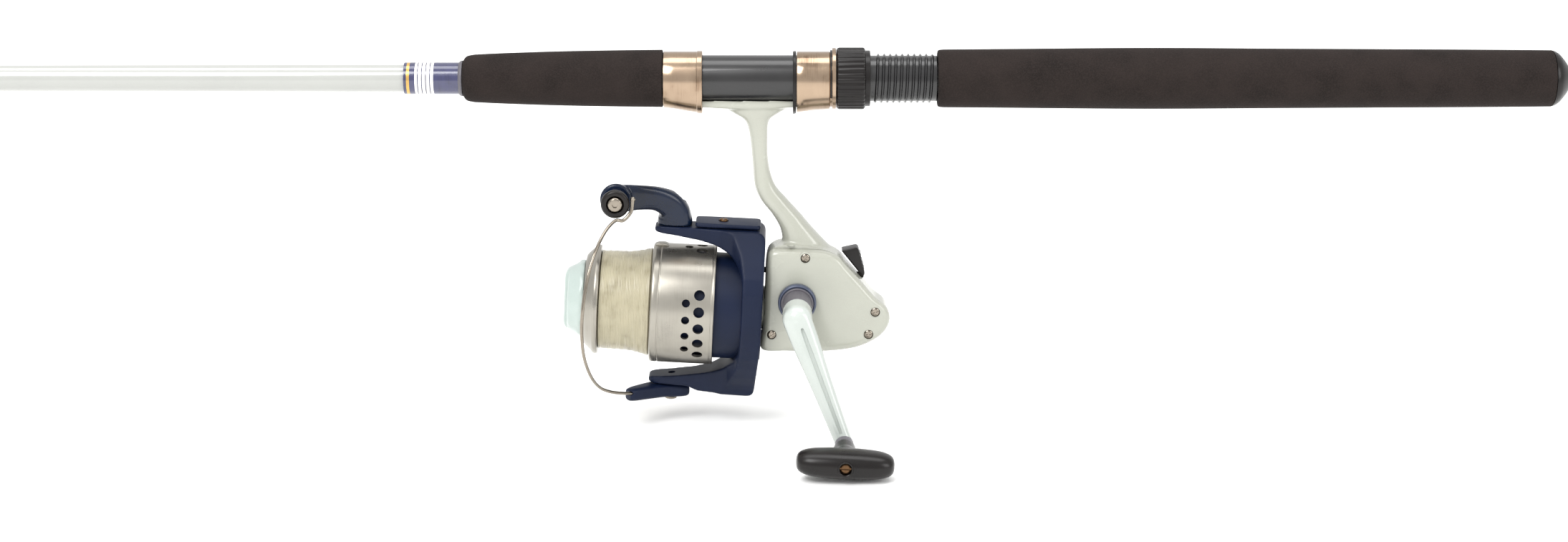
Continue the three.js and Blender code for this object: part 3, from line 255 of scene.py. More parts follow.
def closed_curve(points, per):
    """Catmull-Rom points round a closed outline."""
    n = len(points)
    around = [points[(i - 2) % n] for i in range(n + 5)]
    return curve_through(around, per)[2 * per : (n + 2) * per]


def rounded(points, radius, steps=4):
    """A line of points with its inner corners rounded off."""
    out = [tuple(points[0])]
    for a, b, c in zip(points, points[1:], points[2:]):
        b = Vector(b)
        before, after = Vector(a) - b, Vector(c) - b
        start = b + before.normalized() * min(radius, before.length * 0.45)
        end = b + after.normalized() * min(radius, after.length * 0.45)
        for k in range(steps + 1):
            t = k / steps
            out.append(tuple(start * (1 - t) ** 2 + b * 2 * t * (1 - t) + end * t * t))
    return out + [tuple(points[-1])]


def rounded_loop(points, radius):
    """Rounds every corner of a closed outline given without its first point again."""
    middle = tuple((a + b) / 2 for a, b in zip(points[0], points[-1]))
    return rounded([middle] + list(points) + [middle], radius)[:-1]


def swapped(obj):
    """Lays an outline pushed along Y flat, so that it is pushed along Z."""
    obj.data.transform(Matrix(((1, 0, 0, 0), (0, 0, 1, 0), (0, 1, 0, 0), (0, 0, 0, 1))))
    obj.data.flip_normals()
    return obj


def mirrored(points, u, v):
    return [(u * a, v * b) for a, b in reversed(points)]


def loft(rings, closed_tube=False):
    """A skin over rings of points with the same count, capped at its ends."""
    count = len(rings[0])
    verts = [p for ring in rings for p in ring]
    faces = []
    pairs = len(rings) if closed_tube else len(rings) - 1
    for r in range(pairs):
        s = (r + 1) % len(rings)
        for n in range(count):
            m = (n + 1) % count
            faces.append((r * count + n, r * count + m, s * count + m, s * count + n))
    if not closed_tube:
        faces.append(tuple(range(count)))
        faces.append(tuple(range((len(rings) - 1) * count, len(rings) * count)))
    return shape(verts, faces)


def lathe(points, sides=64, bored=False, lobe=None):
    """A body turned about X from (x, radius) points. A bored one closes on itself."""
    line = list(points)
    if not bored:
        line = [(line[0][0], 0.01)] + line + [(line[-1][0], 0.01)]
    rings = []
    for x, r in line:
        ring = []
        for n in range(sides):
            t = 2 * math.pi * n / sides
            q = r * (1 + lobe(t, x)) if lobe else r
            ring.append((x, q * math.cos(t), q * math.sin(t)))
        rings.append(ring)
    return loft(rings, bored)


def oval(centre, u, v, a, b, count=48, power=1.0):
    """A ring of points round a centre, squarer as power falls below 1."""

    def squash(w):
        return math.copysign(abs(w) ** power, w)

    c, u, v = Vector(centre), Vector(u), Vector(v)
    turns = [2 * math.pi * n / count for n in range(count)]
    return [c + u * (a * squash(math.cos(t))) + v * (b * squash(math.sin(t))) for t in turns]


def tube_along(points, radius, sides=16):
    """A round wire through points; radius may be a list."""
    path = [Vector(p) for p in points]
    rings = []
    side = None
    for i, p in enumerate(path):
        along = (path[min(i + 1, len(path) - 1)] - path[max(i - 1, 0)]).normalized()
        if side is None:
            side = along.orthogonal().normalized()
        side = (side - along * side.dot(along)).normalized()
        r = radius[i] if isinstance(radius, list) else radius
        rings.append(oval(p, side, along.cross(side), r, r, sides))
    return loft(rings)


def inset_outline(points, by):
    """An outline moved inwards by a distance, along its normals."""
    n = len(points)
    area = sum(
        points[i][0] * points[(i + 1) % n][1] - points[(i + 1) % n][0] * points[i][1] for i in range(n)
    )
    out = []
    for i in range(n):
        a, b = Vector(points[i - 1]), Vector(points[(i + 1) % n])
        d = (b - a).normalized()
        inward = Vector((-d.y, d.x)) * (1 if area > 0 else -1)
        out.append(tuple(Vector(points[i]) + inward * by))
    return out


def slab(points, y0, y1, edge=0.8, steps=4):
    """An outline in X and Z pushed along Y, with round edges."""
    sections = []
    for k in range(steps + 1):
        a = math.pi / 2 * k / steps
        sections.append((y0 + edge * (1 - math.cos(a)), edge * (1 - math.sin(a))))
    sections += [(y1 - (y - y0), by) for y, by in reversed(sections)]
    return loft([[(x, y, z) for x, z in inset_outline(points, by)] for y, by in sections])


def turned_to(obj, axis):
    """Lays a body made along X along Y or Z."""
    turn = Matrix.Rotation(math.pi / 2, 4, "Z") if axis == "Y" else Matrix.Rotation(-math.pi / 2, 4, "Y")
    obj.data.transform(turn)
    return obj


def moved(obj, x=0.0, y=0.0, z=0.0):
    obj.data.transform(Matrix.Translation((x, y, z)))
    return obj


def bake(obj):
    """Puts an object's modifiers into its mesh."""
    graph = bpy.context.evaluated_depsgraph_get()
    mesh = bpy.data.meshes.new_from_object(obj.evaluated_get(graph))
    obj.modifiers.clear()
    obj.data = mesh
    return obj


def boolean(obj, tools, kind="DIFFERENCE"):
    for tool in tools:
        step = obj.modifiers.new("b", "BOOLEAN")
        step.operation = kind
        step.solver = "EXACT"
        step.object = tool
        bake(obj)
        bpy.data.objects.remove(tool)
    return obj


def merged(objs):
    """Several objects' meshes in one object."""
    bm = bmesh.new()
    for o in objs:
        bm.from_mesh(o.data)
    bm.to_mesh(objs[0].data)
    bm.free()
    for o in objs[1:]:
        bpy.data.objects.remove(o)
    return objs[0]


def fused(objs, voxel, smooth=8, factor=0.5):
    """Bodies melted into one skin with soft joints."""
    obj = merged(objs)
    step = obj.modifiers.new("r", "REMESH")
    step.mode = "VOXEL"
    step.voxel_size = voxel
    step = obj.modifiers.new("s", "SMOOTH")
    step.iterations = smooth
    step.factor = factor
    return bake(obj)


def put(obj, name, look, body, replaces=(), frame_matrix=REEL, sharp=38):
    """Finishes a piece: its name, place, look and body."""
    obj.name = name
    obj.data.name = name
    obj.data.transform(frame_matrix)
    obj.data.materials.clear()
    obj.data.materials.append(look)
    obj.data.polygons.foreach_set("use_smooth", [True] * len(obj.data.polygons))
    obj.data.set_sharp_from_angle(angle=math.radians(sharp))
    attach(obj, body)
    if replaces:
        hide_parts(*([replaces] if isinstance(replaces, str) else replaces))
    return obj


def bar(x0, x1, r, sides=64):
    return lathe([(x0, r), (x1, r)], sides)


def box(x0, x1, y0, y1, z0, z1):
    v = [(x, y, z) for x in (x0, x1) for y in (y0, y1) for z in (z0, z1)]
    return shape(v, [(0, 1, 3, 2), (4, 6, 7, 5), (0, 4, 5, 1), (2, 3, 7, 6), (0, 2, 6, 4), (1, 5, 7, 3)])


# ------------------------------------------------------------------ rod
ROD_LENGTH = 2134
FERRULE_START, FERRULE_END = 1020, 1090
BUTT_RADIUS, FERRULE_RADIUS, SHOULDER_RADIUS, TIP_RADIUS = 8.35, 7.41, 6.85, 1.15
BUTT_TAPER = 2  # how much the butt section's radius falls on the way to the ferrule


def blank_radius(at):
    """The blank's radius at a distance from the butt end."""
    if at <= FERRULE_START:
        return BUTT_RADIUS - BUTT_TAPER * at / FERRULE_START
    if at <= FERRULE_END:
        return FERRULE_RADIUS
    return SHOULDER_RADIUS + (TIP_RADIUS - SHOULDER_RADIUS) * (at - FERRULE_END) / (ROD_LENGTH - FERRULE_END)


def make_rod():
    cap = curve_through([(-0.05, 6.2), (-0.5, 7.4), (-2.2, 9.8), (-4.8, 12.7), (-6.8, 14), (-8.2, 14.4)], 5)
    put(lathe([(-0.3, 5.6)] + cap[2:], 64), "butt_cap_skin", BLACK, "rod", "butt_cap", ROD)
    button = rounded([(-0.28, 5.4), (0, 5.2), (0, 4.0), (-0.2, 3.4), (-0.2, 0.4)], 0.3)
    put(lathe(button[::-1], 48), "butt_button", SLATE, "rod", (), ROD)

    rear = curve_through(
        [
            (-8.6, 14.55), (-30, 14.75), (-70, 15), (-144, 15.35), (-218, 15.75), (-290, 15.2),
            (-322, 14.95)
        ], 12
    )
    rear = [(-8.6, 9), (-8.5, 13.9)] + rear + rounded(
        [(-322.2, 14.95), (-325.3, 14.7), (-325.4, 12.9)], 1.4
    ) + [(-325.4, 9)]
    grip = put(lathe(rear, 96, True), "rear_grip_foam", FOAM, "rod", "rear_grip", ROD)
    fore = curve_through([(-467.4, 14.8), (-490, 14.55), (-520, 14), (-548, 13.1), (-564, 12.35)], 10)
    fore = [(-467.2, 8.5), (-467.2, 14.4)] + fore + rounded(
        [(-564.5, 12.3), (-568.6, 11.6), (-570.2, 9.1)], 2
    ) + [(-570.2, 8)]
    grip = put(lathe(fore, 96, True), "fore_grip_foam", FOAM, "rod", "fore_grip", ROD)

    def long(points, per=30):
        out = []
        for (x0, r0), (x1, r1) in zip(points, points[1:]):
            steps = max(1, int(abs(x1 - x0) / per))
            out += [(x0 + (x1 - x0) * k / steps, r0 + (r1 - r0) * k / steps) for k in range(steps)]
        return out + [points[-1]]

    butt = long(
        [(-8.9, 8.35), (-1020, 6.35), (-1087, 6.1)]
    ) + long([(-1087, 5.0), (-1020, 5.25), (-8.9, 7.25)])
    put(lathe(butt, 48, True), "butt_section", WHITE, "rod", "butt_blank", ROD)
    tip = [(-1020.3, 7.0), (-1020.5, 7.41)] + long(
        [(-1021, 7.41), (-1082, 7.35), (-1090, 6.85), (-2129.8, 1.15)]
    )
    inner = [(-2129.9, 0.3), (-1590, 0.3), (-1120, 5.4), (-1090, 6.16), (-1020.3, 6.42)]
    put(
        lathe(tip + inner, 48, True), "tip_section_blank", WHITE, "tip_section", "tip_blank",
        ROD
    )


def wrap_band(start, end, proud=0.45, foot=0.0, sides=64, base=None):
    """Turns of thread round the blank, over a guide's foot when foot is its height."""
    pitch = 0.42
    rings = []
    turns = max(2, int((end - start) / pitch))
    for k in range(turns * 2 + 1):
        at = start + (end - start) * k / (turns * 2)
        from_end = min(at - start, end - at)
        rise = min(1.0, 0.35 + from_end / 1.2)
        r = (base or blank_radius(at)) + proud * rise + (0.035 if k % 2 else 0)
        ring = []
        for n in range(sides):
            t = 2 * math.pi * n / sides
            down = math.acos(max(-1, min(1, -math.sin(t))))
            q = r + foot * math.exp(-((down / 0.3) ** 2))
            ring.append((-at, q * math.cos(t), q * math.sin(t)))
        rings.append(ring)
    return loft(rings)


def make_wraps():
    front = 8.3
    navy = [(570.6, 585.0), (594.6, 597.4), (598.9, 600.4)]
    lines = [(586.5, 587.0), (588.6, 589.1), (590.7, 591.2), (592.8, 593.3)]
    edges = [585.0] + [e for pair in lines for e in pair] + [594.6]
    white = list(zip(edges[::2], edges[1::2]))

    def band(a, b, low=0.0):
        return wrap_band(a, b, proud=0.0, base=front - low)

    put(merged([band(a, b) for a, b in navy]), "grip_wrap_navy", THREAD_NAVY, "rod", (), ROD)
    put(
        merged([band(a, b) for a, b in white]), "grip_wrap_white", THREAD_WHITE, "rod", (),
        ROD
    )
    put(
        merged([band(a, b) for a, b in lines]), "grip_wrap_lines", THREAD_NAVY, "rod", (), ROD
    )
    put(band(597.4, 598.9), "grip_wrap_gold", THREAD_GOLD, "rod", (), ROD)
    collar = rounded([(-570.25, 7.3), (-570.3, 9.3), (-571.3, 9.2), (-572.4, 8.4), (-572.6, 7.4)], 0.5)
    put(lathe(collar, 64), "grip_collar", GREY, "rod", (), ROD)
    put(
        wrap_band(1020.8, 1033, base=FERRULE_RADIUS), "ferrule_wrap", THREAD_NAVY, "tip_section",
        (), ROD
    )
    put(
        wrap_band(1033.1, 1034.4, base=FERRULE_RADIUS), "ferrule_trim", THREAD_GOLD, "tip_section",
        (), ROD
    )


def make_seat():
    barrel = rounded(
        [(-325.8, 8.6), (-325.8, 11.8), (-360, 11.85), (-361, 12), (-466.8, 12), (-466.8, 8.6)], 0.4
    )
    seat = lathe(barrel, 72, True)
    # Helical thread.
    pitch, start, end, sides = 3.1, 326.4, 359.6, 72
    rings = []
    profile = [(0.0, 11.6), (0.35, 12.1), (0.75, 12.72), (1.25, 12.72), (1.65, 12.1), (2.0, 11.6)]
    turns = (end - start - 2) / pitch
    total = int(turns * sides)
    for k in range(total + 1):
        t = 2 * math.pi * k / sides
        at = start + pitch * k / sides
        fade = min(1, k / 20, (total - k) / 20)
        rings.append(
            [(
                -(at + u), (11.6 + (r - 11.6) * fade) * math.cos(t),
                (11.6 + (r - 11.6) * fade) * math.sin(t)
            ) for u, r in profile]
        )
    put(merged([seat, loft(rings)]), "seat_barrel", SEAT, "rod", "reel_seat", ROD, 30)

    collar = [(-360.2, 13.1), (-360.2, 14.2), (-360.5, 14.45), (-362.6, 14.45), (-362.8, 15.0)]
    body = [
        (-363.0, 15.4), (-363.6, 15.9), (-364.4, 15.95), (-376.2, 15.95), (-376.9, 15.7), (-377.5, 15.0),
        (-377.5, 13.1)
    ]

    def knurl(t, x):
        return 0.014 * math.copysign(
            abs(math.sin(36 * t)) ** 0.5, math.sin(36 * t)
        ) - 0.012 if -376.6 < x < -363.4 else 0

    nut = lathe(collar + body, 288, True, knurl)
    put(nut, "lock_nut_ribbed", BLACK, "lock_nut", "lock_nut", ROD, 30)

    def hood_ring(x, r, lift, count=72):
        ring = []
        for n in range(count):
            t = 2 * math.pi * n / count
            down = max(0.0, -math.sin(t)) ** 1.2
            ring.append((x, (r + 0.35 * lift * down) * math.cos(t), r * math.sin(t) - lift * down))
        return ring

    def foot_ring(x, half, thick):
        low = -12.3 - thick
        points = [
            (-half, 0), (half, 0), (half, low + 0.66 * thick), (0.62 * half, low + 0.1 * thick), (0, low),
            (-0.62 * half, low + 0.1 * thick), (-half, low + 0.66 * thick),
        ]
        return [(x, y, z) for y, z in points]

    def pocket(mouth, end):
        reach = math.copysign(1, mouth - end)
        return loft([foot_ring(mouth + reach, 7.7, 3.9), foot_ring(end, 6.66, 1.6)])

    def hood(stations, mouth, end, name, look, body, node):
        obj = loft([hood_ring(*s) for s in stations])
        tools = [bar(-325, -468, 12.3, 72)]
        if end < -400 or body == "hood":
            tools.append(pocket(mouth, end))
        if node == "sliding_hood":
            tools.append(bar(-376, -380.8, 13.05, 72))
        put(boolean(obj, tools), name, look, body, node, ROD, 30)

    ring_edge = [(-377.8, 15.5, 0.2), (-378, 15.75, 0.2), (-379.6, 15.75, 0.2), (-379.8, 15.5, 0.2)]
    groove = [(-379.85, 14.5, 0.3), (-380.85, 14.4, 0.6)]
    dome = [
        (-380.9, 13.6, 2.0), (-381.3, 13.9, 2.15), (-385, 13.9, 2.35), (-389.8, 13.9, 2.7),
        (-394, 13.9, 3.3), (-397.6, 13.9, 3.8), (-398, 13.7, 3.85)
    ]
    hood(
        ring_edge + groove + dome, -398, -388.1, "sliding_hood_shell", STEEL, "hood",
        "sliding_hood"
    )
    liner = [(-398.3, 13.9, 4.0), (-398.5, 14.15, 4.1), (-399.7, 14.15, 4.45), (-400, 13.9, 4.45)]
    hood(liner, -400, -388.1, "hood_liner_ring", BLACK, "hood", "hood_liner")
    fixed = [
        (-446.7, 13.9, 4.0), (-447, 14.2, 4.1), (-449.3, 14.2, 3.95), (-449.6, 13.9, 3.85),
        (-449.9, 13.9, 3.8),
        (-455, 13.9, 3.0), (-461, 13.9, 1.9), (-466.4, 13.9, 1.25), (-466.8, 13.7, 1.2),
    ]
    hood(fixed, -446.7, -458.7, "front_hood_shell", STEEL, "rod", "front_hood")
    dark = lathe(
        rounded([(-379.9, 12.6), (-379.9, 14.62), (-380.85, 14.62), (-380.85, 12.6)], 0.1), 72, True
    )
    put(dark, "hood_gap_ring", BLACK, "hood", (), ROD)


GUIDES = [(962, 11, 27), (1290, 7, 18), (1610, 5, 12), (1890, 4, 9)]


def make_guides():
    for number, (at, ring, height) in enumerate(GUIDES, 1):
        body = "rod" if number == 1 else "tip_section"
        r = blank_radius(at)
        centre = Vector((-at, 0, -r - height))
        outer = ring + 1.9
        band = rounded(
            [(-0.8, ring + 1), (-0.8, outer), (0.8, outer), (0.8, ring + 1), (-0.8, ring + 1)], 0.4
        )
        hoop = moved(lathe(band, 64, True), *centre)
        spread = height * 0.55

        def under(x):
            return Vector((-at + x, 0, -blank_radius(at - x) - 1.05))

        front, back = under(-spread - 4), under(spread + 4)
        parts = [hoop]
        for side in (-1, 1):
            hold = centre + Vector((0, side * (outer + 0.1) * 0.94, (outer + 0.1) * 0.34))
            knee = front.lerp(hold, 0.5) + Vector((0.6, side * 0.9, 0))
            leg = curve_through(
                [tuple(front + Vector((-2, 0, 0))), tuple(front), tuple(knee), tuple(hold)], 8
            )
            parts.append(tube_along(leg, 0.75, 12))
        top = centre + Vector((0, 0, outer + 0.1))
        knee = back.lerp(top, 0.5) + Vector((0.3, 0, -0.3))
        rear = curve_through([tuple(back + Vector((2, 0, 0))), tuple(back), tuple(knee), tuple(top)], 8)
        parts.append(tube_along(rear, 0.8, 12))
        for start, way in ((front, -1), (back, 1)):
            foot = [tuple(start + Vector((way * d, 0, 0.02 * d))) for d in (-0.8, 2, 4, 6, 8, 9.2)]
            parts.append(tube_along(foot, [0.78, 0.76, 0.72, 0.66, 0.55, 0.3], 12))
        name = f"guide_{number}"
        put(merged(parts), name + "_wire", STEEL, body, name + "_frame", ROD)
        insert = rounded(
            [
                (-1.1, ring + 0.94), (-1.1, ring + 0.5), (-0.5, ring), (0.5, ring), (1.1, ring + 0.5),
                (1.1, ring + 0.94), (-1.1, ring + 0.94)
            ], 0.35
        )
        put(
            moved(lathe(insert, 64, True), *centre), name + "_insert", CERAMIC, body,
            name + "_ring", ROD
        )
        for way in (1, -1):
            a = at + way * (spread + 4 + 2.0)
            b = at + way * (spread + 4 + 11.0)
            low, high = min(a, b), max(a, b)
            tag = "front" if way > 0 else "rear"
            wrap = wrap_band(low, high, foot=1.75, sides=72)
            put(wrap, f"{name}_wrap_{tag}", THREAD_NAVY, body, (), ROD)
            trim = wrap_band(b + 0.1, b + 1.2) if way > 0 else wrap_band(b - 1.2, b - 0.1)
            put(trim, f"{name}_trim_{tag}", THREAD_GOLD, body, (), ROD)

    ring, drop, sleeve = 3.6, 7, 16
    end = -2130
    centre = Vector((-2132.8, 0, -drop))
    bore = blank_radius(ROD_LENGTH - 4 - sleeve) + 0.3
    barrel = lathe(rounded([
        (end + sleeve, bore), (end + sleeve, bore + 0.6), (end - 2, bore + 0.6), (end - 2, 0.4),
        (end - 0.3, 0.4), (end - 0.3, bore)
    ], 0.4), 32, True)
    hoop = moved(lathe(rounded(
        [(-0.8, ring + 0.9), (-0.8, ring + 1.7), (0.8, ring + 1.7), (0.8, ring + 0.9), (-0.8, ring + 0.9)],
        0.3
    ), 48, True), *centre)
    parts = [barrel, hoop]
    for side in (-1, 1):
        start = Vector((end + sleeve * 0.6, side * 0.6, -bore - 0.4))
        hold = centre + Vector((0, side * (ring + 1.4), 0.5))
        parts.append(tube_along(curve_through(
            [tuple(start), tuple(start.lerp(hold, 0.5) + Vector((0, side * 0.7, 0))), tuple(hold)], 8
        ), 0.55, 12))
    parts.append(tube_along([(end - 1, 0, -bore), tuple(centre + Vector((0, 0, ring + 1.4)))], 0.8, 12))
    put(merged(parts), "tip_top_wire", STEEL, "tip_section", "tip_top_frame", ROD)
    insert = rounded([
        (-1, ring + 0.84), (-1, ring + 0.4), (-0.5, ring), (0.5, ring), (1, ring + 0.4), (1, ring + 0.84),
        (-1, ring + 0.84)
    ], 0.3)
    put(
        moved(lathe(insert, 48, True), *centre), "tip_top_insert", CERAMIC, "tip_section",
        "tip_top_ring", ROD
    )


# ------------------------------------------------------------------ reel body
# Along Y: the housing's far side, its joint with the cover, the cover's back and its face.
FAR, SPLIT, NEAR = 14.5, -11.5, -16.5
COVER_BACK = SPLIT - 0.3
OUTLINE = [
    (46.8, 29), (49, 34.5), (56, 37.5), (66, 37.2), (76, 36), (84, 33), (90, 27), (97, 19.8), (104.5, 11.8),
    (110, 7.6), (112.8, 2.8), (112.4, -3), (108, -9.2), (98.6, -14.8), (88, -17.6), (74, -19.2), (60, -19.6),
    (46.8, -19.2), (46.8, -8), (46.8, 4), (46.8, 16),
]
CRANK = (64, 8.4)
LEVER_HEIGHT = 20.5  # of the anti-reverse lever's axis
HOUSING_MIDDLE = (78, 3)
SCREWS = [(67, 32), (51.6, -10.2), (105, 4.8), (102.2, -7.4)]


def on_crank_axis(obj):
    """Lays a body made along X on the crank's axis."""
    return moved(turned_to(obj, "Y"), CRANK[0], 0, CRANK[1])


def towards_middle(points, by):
    """An outline moved towards the housing's middle by a distance."""
    out = []
    for x, z in points:
        d = Vector((x - HOUSING_MIDDLE[0], z - HOUSING_MIDDLE[1]))
        out.append((x - d.x / d.length * by, z - d.y / d.length * by))
    return out


def layers(stations, per=8):
    """The housing's outline at several places along Y, each moved inwards."""
    smooth = closed_curve(OUTLINE, per)
    return loft([[(x, y, z) for x, z in towards_middle(smooth, by)] for y, by in stations])


def foot_and_stem():
    rings = []
    for k in range(-24, 25):
        share = k / 24
        slim = abs(share) ** 1.5
        half = 7.4 * (1 - 0.14 * slim)
        if abs(share) > 0.93:
            half *= 1 - 0.25 * ((abs(share) - 0.93) / 0.07) ** 2
        thick = 3.6 + (1.3 - 3.6) * slim
        x = -423.4 - share * 35
        low = -12.3 - thick
        arc = []
        for n in range(13):
            y = half * (1 - n / 6)
            top = -math.sqrt(max(0.0, 12.3**2 - y * y))
            arc.append((x, y, min(top, -9.9)))
        under = [(
            x, half * math.sin(math.pi * (n / 12 - 0.5)),
            low + thick * 0.62 * (1 - math.cos(math.pi * (n / 12 - 0.5)) ** 0.7)
        ) for n in range(13)]
        rings.append(arc + under)
    foot = loft(rings)
    sections = curve_through(
        [
            (-14.0, -438, -400, 6.3), (-18.2, -430.5, -407.5, 5.8), (-22, -424.8, -412.2, 5.4),
            (-30, -422.4, -413, 5.2),
            (-44, -421, -412.6, 5.4), (-56, -420, -409.4, 6), (-64, -416.8, -403, 7),
            (-72, -410.5, -395.9, 8),
            (-80, -406.4, -389.2, 9), (-88, -405.8, -381.8, 10), (-95, -409, -374.8, 11),
            (-103, -412, -368, 11),
        ],
        5,
    )
    stem = loft(
        [
            oval(((f + r) / 2, 0, z), (1, 0, 0), (0, 1, 0), (r - f) / 2, h, 64, 0.78) for z, f, r,
            h in sections
        ]
    )
    for o in (foot, stem):
        o.data.transform(TO_REEL)
    return foot, stem


def make_body():
    foot, stem = foot_and_stem()
    shell = layers(
        [
            (SPLIT - 4, 0), (SPLIT, 0), (-4, 0), (3, 0.1), (6, 0.6), (8.4, 1.4), (10.4, 2.6), (12, 4.1),
            (13.2, 5.8), (14.1, 7.6), (FAR, 9.6)
        ]
    )
    body = fused([foot, stem, shell], 0.75, smooth=10)
    inner = layers([(SPLIT - 5, 3.8), (4, 3.8), (9, 5.6), (FAR - 2.4, 9.2)], 4)
    keep_split = box(30, 130, -40, SPLIT, -40, 37.6)
    barrel = bar(-130, 130, 12.32, 96)
    barrel.data.transform(Matrix.Translation((-420, 0, 0)))
    barrel.data.transform(TO_REEL)
    tools = [inner, keep_split, barrel, bar(40, 52, 4.9, 48)]
    tools.append(on_crank_axis(bar(-20, 30, 9.2, 48)))
    tools.append(moved(bar(44, 104, 1.85, 24), 0, 0, LEVER_HEIGHT))
    put(boolean(body, tools), "body_casting", PEARL, "rod", "reel_body", REEL, 40)

    nose = [
        (43.6, 4.9), (43.6, 11.2), (46.6, 11.4), (50.4, 10.8), (50.7, 10.4), (50.7, 8.3), (47.1, 8.3),
        (47.1, 4.9)
    ]
    put(lathe(rounded(nose, 0.3), 64, True), "front_bearing_seat", PEARL, "rod")
    boss = [
        (FAR - 6, 4.1), (FAR - 6, 9.4), (FAR + 1.4, 9.4), (FAR + 2.2, 8.8), (FAR + 2.2, 4.1),
        (FAR - 1.9, 4.1), (FAR - 1.9, 8.3), (FAR - 6, 8.3)
    ]
    far_boss = on_crank_axis(lathe(rounded(boss, 0.4), 64, True))
    put(far_boss, "far_bearing_boss", PEARL, "rod")


def cover_height(x, z, depth):
    """How far the cover's outer face is from its joint, at a point depth inside the edge."""
    edge = 4.7 * (1 - (1 - min(1.0, depth / 4.6)) ** 2.6) ** 0.55 if depth > 0 else 0.0
    crest = (x - 88) * 0.86 + (z - 8) * 0.5
    fall = 0.028 * max(0.0, crest) + 0.02 * max(0.0, 50 - x + 6)
    return max(0.0, edge - min(1.1, fall * min(1.0, depth / 4)))


def surface_y(x, z):
    return COVER_BACK - cover_height(x, z, 6)


def make_cover():
    smooth = closed_curve([(x, min(z, 35.6)) for x, z in OUTLINE], 6)
    rings = []
    steps = [0, 0.12, 0.3, 0.6, 1, 1.5, 2.1, 2.8, 3.6, 4.6, 6, 8, 10.5, 13.5, 17, 21, 25, 28.5]
    for depth in steps:
        ring = []
        for x, z in smooth:
            d = Vector((x - 78, z - 8))
            k = min(0.985, depth / d.length)
            px, pz = x - d.x * k, z - d.y * k
            ring.append((px, COVER_BACK - cover_height(px, pz, depth), pz))
        rings.append(ring)
    back = [(x, COVER_BACK, z) for x, z in towards_middle(smooth, 0.05)]
    cover = loft([back] + rings)
    tools = [layers([(NEAR + 2.8, 4.6), (SPLIT + 1, 4.2)], 4)]
    tools.append(on_crank_axis(bar(-30, 0, 4.1, 48)))
    for x, z in SCREWS:
        y = surface_y(x, z)
        tools.append(moved(turned_to(bar(y - 2, y + 1.9, 2.95, 40), "Y"), x, 0, z))
    put(boolean(cover, tools), "cover_casting", PEARL, "rod", "side_cover", REEL, 32)
    for n, (x, z) in enumerate(SCREWS, 1):
        y = surface_y(x, z)
        ring = rounded(
            [(-0.35, 2.5), (-0.35, 2.95), (-0.05, 3.3), (0.5, 3.4), (0.5, 2.8), (-0.35, 2.5)], 0.2
        )
        cup = moved(turned_to(lathe(ring, 40, True), "Y"), x, y + 0.35, z)
        put(cup, f"cover_screw_seat_{n}", PEARL, "rod")
        head = lathe(
            rounded([(-1.15, 0.5), (-1.1, 1.6), (-0.5, 2.5), (0.2, 2.62), (1.2, 2.62), (1.2, 0.5)], 0.3), 40
        )
        arms = []
        for turn in (20, 110):
            arm = box(-2, -0.55, -1.55, 1.55, -0.27, 0.27)
            arm.data.transform(Matrix.Rotation(math.radians(turn + 17 * n), 4, "X"))
            arms.append(arm)
        screw = moved(turned_to(boolean(head, arms), "Y"), x, y + 1.0, z)
        put(screw, f"cover_screw_head_{n}", CHROME, "rod", f"cover_screw_{n}")

    outer = [(-16.8, 4.2), (-16.8, 10), (-19.6, 10), (-20.4, 9.6), (-20.6, 9.0), (-20.2, 8.6), (-20.2, 4.2)]
    ring = on_crank_axis(lathe(rounded(outer, 0.3), 72, True))
    put(ring, "handle_collar_ring", SLATE, "rod", "handle_collar")
    face = [(-20.3, 4.2), (-20.3, 8.4), (-21.2, 8.5), (-21.65, 8.1), (-21.65, 4.2)]
    washer = on_crank_axis(lathe(rounded(face, 0.3), 72, True))
    put(washer, "handle_collar_face", GREY, "rod")


def make_lever():
    side = rounded_loop(
        [(85.8, 33.9), (93.6, 36), (94.8, 35.2), (98.8, 22.6), (98.5, 20.8), (97.3, 20.8)], 0.8
    )
    wedge = slab(side, -4.5, 4.5, 0.6)
    rod = moved(bar(40.2, 98.4, 1.55, 24), 0, 0, LEVER_HEIGHT)
    put(
        merged([wedge, rod]), "switch_lever", BLACK, "anti_reverse", "anti_reverse_lever",
        REEL, 30
    )
    ribs = []
    for k in range(5):
        t = 0.16 + 0.17 * k
        x, z = 95.05 + (98.75 - 95.05) * t, 34.6 + (22.6 - 34.6) * t
        ribs.append(moved(
            turned_to(lathe([(-3.6, 0.1), (-3.3, 0.42), (3.3, 0.42), (3.6, 0.1)], 12), "Y"), x - 0.12, 0, z
        ))
    put(merged(ribs), "switch_ribs", BLACK, "anti_reverse")


